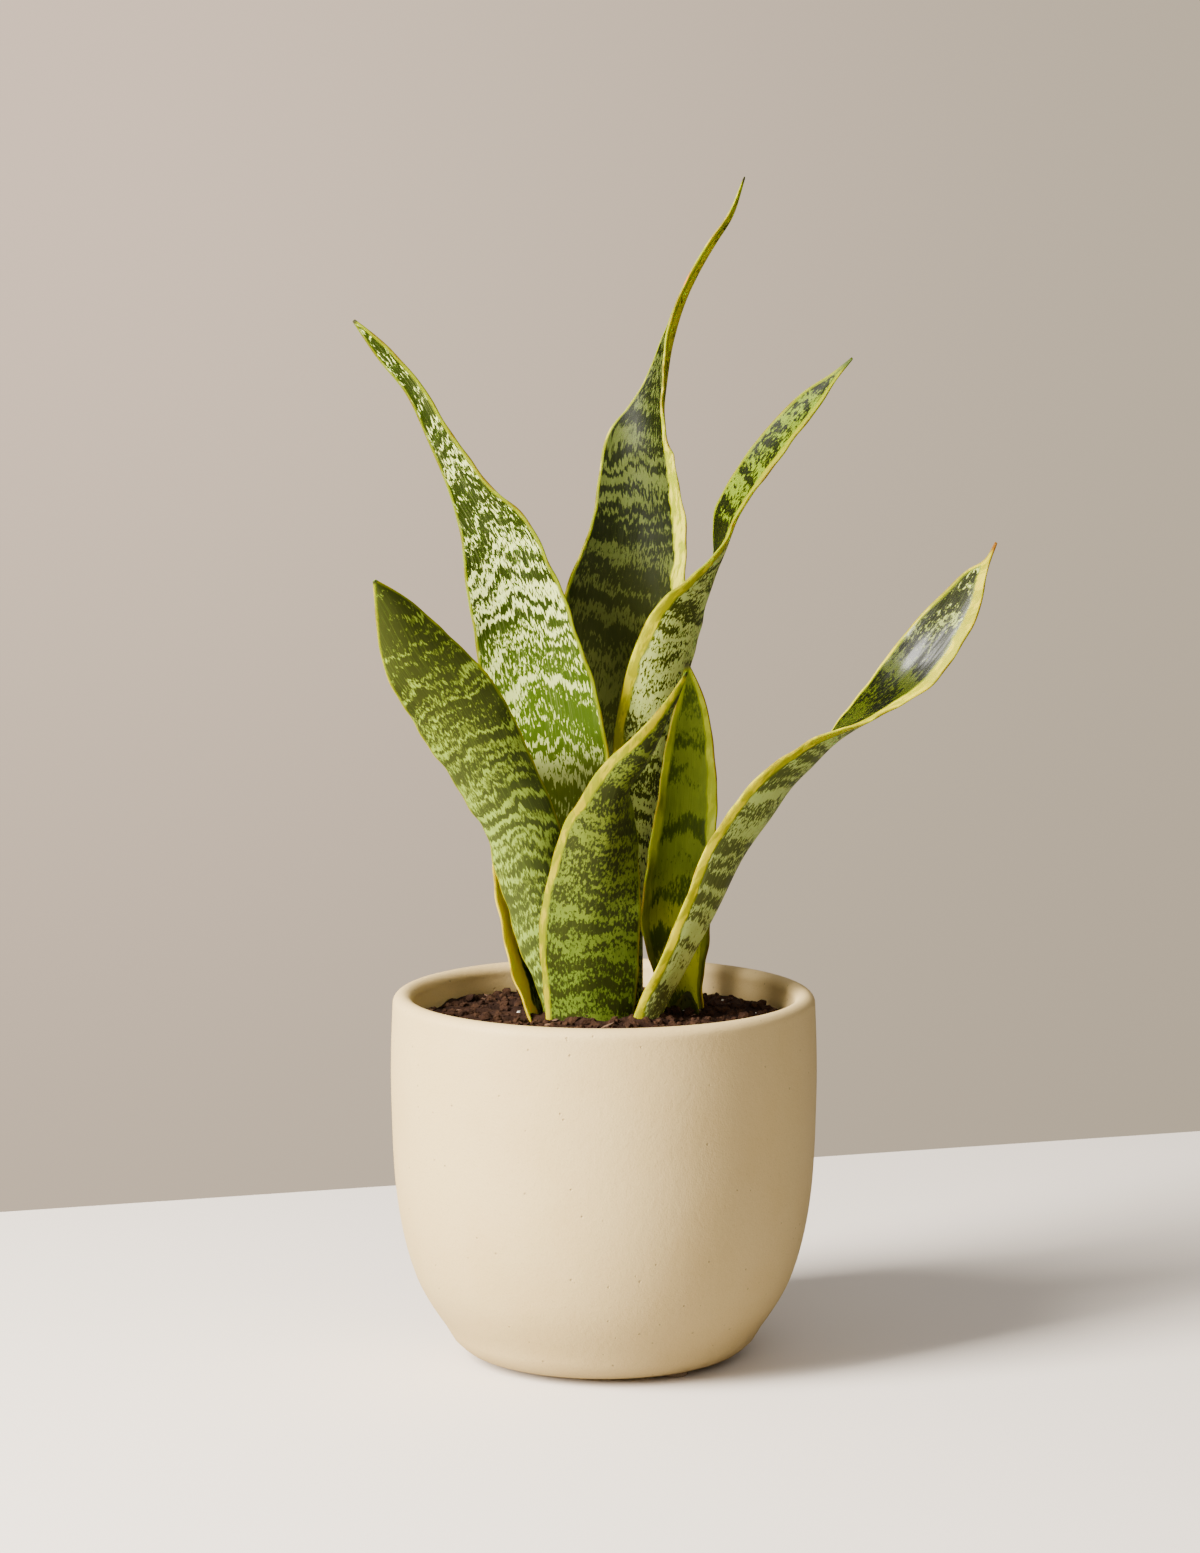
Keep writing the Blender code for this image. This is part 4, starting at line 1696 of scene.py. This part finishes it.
BRIGHT = Skin(
    Tones((0.115, 0.165, 0.006), (0.040, 0.058, 0.002), (0.006, 0.008, 0.001)),
    Tones((0.07, 0.09, 0.004), (0.026, 0.034, 0.001), (0.008, 0.010, 0.001)),
    band=0.0044,
    spread=50.0,
    fleck=(1300.0, 600.0),
    dark_share=0.57,
    chevron=0.2,
    jag=0.005,
    right=((0.0, 2.0), (0.7, 2.6), (0.92, 1.2), (1.0, 0.4)),
    margin=(0.20, 0.20, 0.0),
    tip=(0.04, 0.06, 0.003),
    tip_length=0.007,
    shine=0.06,
)
LIME = Skin(
    Tones((0.043, 0.055, 0.003), (0.021, 0.030, 0.001), (0.011, 0.016, 0.001)),
    Tones((0.29, 0.30, 0.012), (0.12, 0.145, 0.002), (0.046, 0.064, 0.001)),
    foot_to=0.06,
    band=0.014,
    dark_share=0.30,
    jag=0.006,
    wander=0.012,
    speckle=0.35,
    left=((0.0, 1.8), (0.6, 2.6), (1.0, 1.0)),
    right=((0.0, 1.8), (0.6, 3.2), (1.0, 1.0)),
    margin=(0.12, 0.13, 0.004),
    margin_inner=(0.07, 0.085, 0.0),
    rough=0.4,
    glow=0.15,
)
MOSS = Skin(
    Tones((0.40, 0.49, 0.12), (0.23, 0.28, 0.055), (0.078, 0.092, 0.022)),
    Tones((0.48, 0.57, 0.16), (0.28, 0.33, 0.070), (0.094, 0.105, 0.026)),
    band=0.0044,
    dark_share=0.43,
    jag=0.006,
    left=BELLIED,
    right=((0.0, 2.4), (0.7, 2.8), (1.0, 1.4)),
    speckle=0.85,
    margin=(0.54, 0.46, 0.0),
)
GLOSSY = Skin(
    Tones((0.38, 0.44, 0.12), (0.12, 0.145, 0.025), (0.020, 0.023, 0.008)),
    Tones((0.030, 0.040, 0.002), (0.011, 0.014, 0.001), (0.004, 0.005, 0.001)),
    foot_from=0.145,
    foot_to=0.185,
    band=0.0070,
    spread=60.0,
    fleck=(1300.0, 520.0),
    dark_share=0.53,
    chevron=0.25,
    left=BELLIED,
    right=((0.0, 2.4), (0.7, 3.2), (0.85, 4.0), (1.0, 2.0)),
    margin=(0.50, 0.43, 0.0),
    tip=(0.16, 0.06, 0.004),
    tip_length=0.005,
    rough=0.38,
    shine=0.05,
    gloss=0.34,
)
SPIKE = Skin(
    Tones((0.44, 0.40, 0.006), (0.22, 0.22, 0.003), (0.050, 0.058, 0.001)),
    Tones((0.10, 0.12, 0.006), (0.04, 0.05, 0.003), (0.013, 0.016, 0.001)),
    foot_from=0.14,
    foot_to=0.20,
    band=0.0056,
    dark_share=0.25,
    left=((0.0, 0.7), (1.0, 0.7)),
    right=((0.0, 0.7), (1.0, 0.7)),
    margin=(0.34, 0.29, 0.0),
    rough=0.5,
)
SHADE = Skin(
    Tones((0.022, 0.030, 0.003), (0.014, 0.020, 0.002), (0.006, 0.009, 0.001)),
    Tones((0.030, 0.035, 0.004), (0.016, 0.020, 0.002), (0.006, 0.008, 0.001)),
    left=((0.0, 0.5), (1.0, 0.5)),
    right=((0.0, 0.5), (1.0, 0.5)),
    margin=(0.05, 0.055, 0.004),
    margin_inner=(0.03, 0.035, 0.003),
)

PLANT = Plant(
    (
        Leaf("leaf_left_tall", LEFT_TALL, SILVER, BACKED, seed=1.7),
        Leaf("leaf_left_front", LEFT_FRONT, BRIGHT, DULL, fold=0.1, seed=4.2),
        Leaf("leaf_back_tall", BACK_TALL, OLIVE, SPIKE, seed=7.9),
        Leaf("leaf_front", FRONT, BRIGHT, KEELED, fold=0.35, seed=12.4),
        Leaf("leaf_right_mid", RIGHT_MID, BRIGHT, PALE, fold=0.1, seed=15.8),
        Leaf("leaf_right_back", RIGHT_BACK, LIME, MOSS, seed=19.3),
        Leaf("leaf_right_low", RIGHT_LOW, GLOSSY, MOSS, fold=0.1, seed=23.6),
        Leaf("sheath", SHEATH, SHADE, SHADE, seed=27.1, spacing=0.0012),
    )
)


def main() -> None:
    """Makes every piece in order, then the studio."""
    pot = Pot()
    pot.make()
    Soil(pot).make()
    PLANT.make()
    Pads().make()
    Studio().make()


if __name__ == "__main__":
    main()
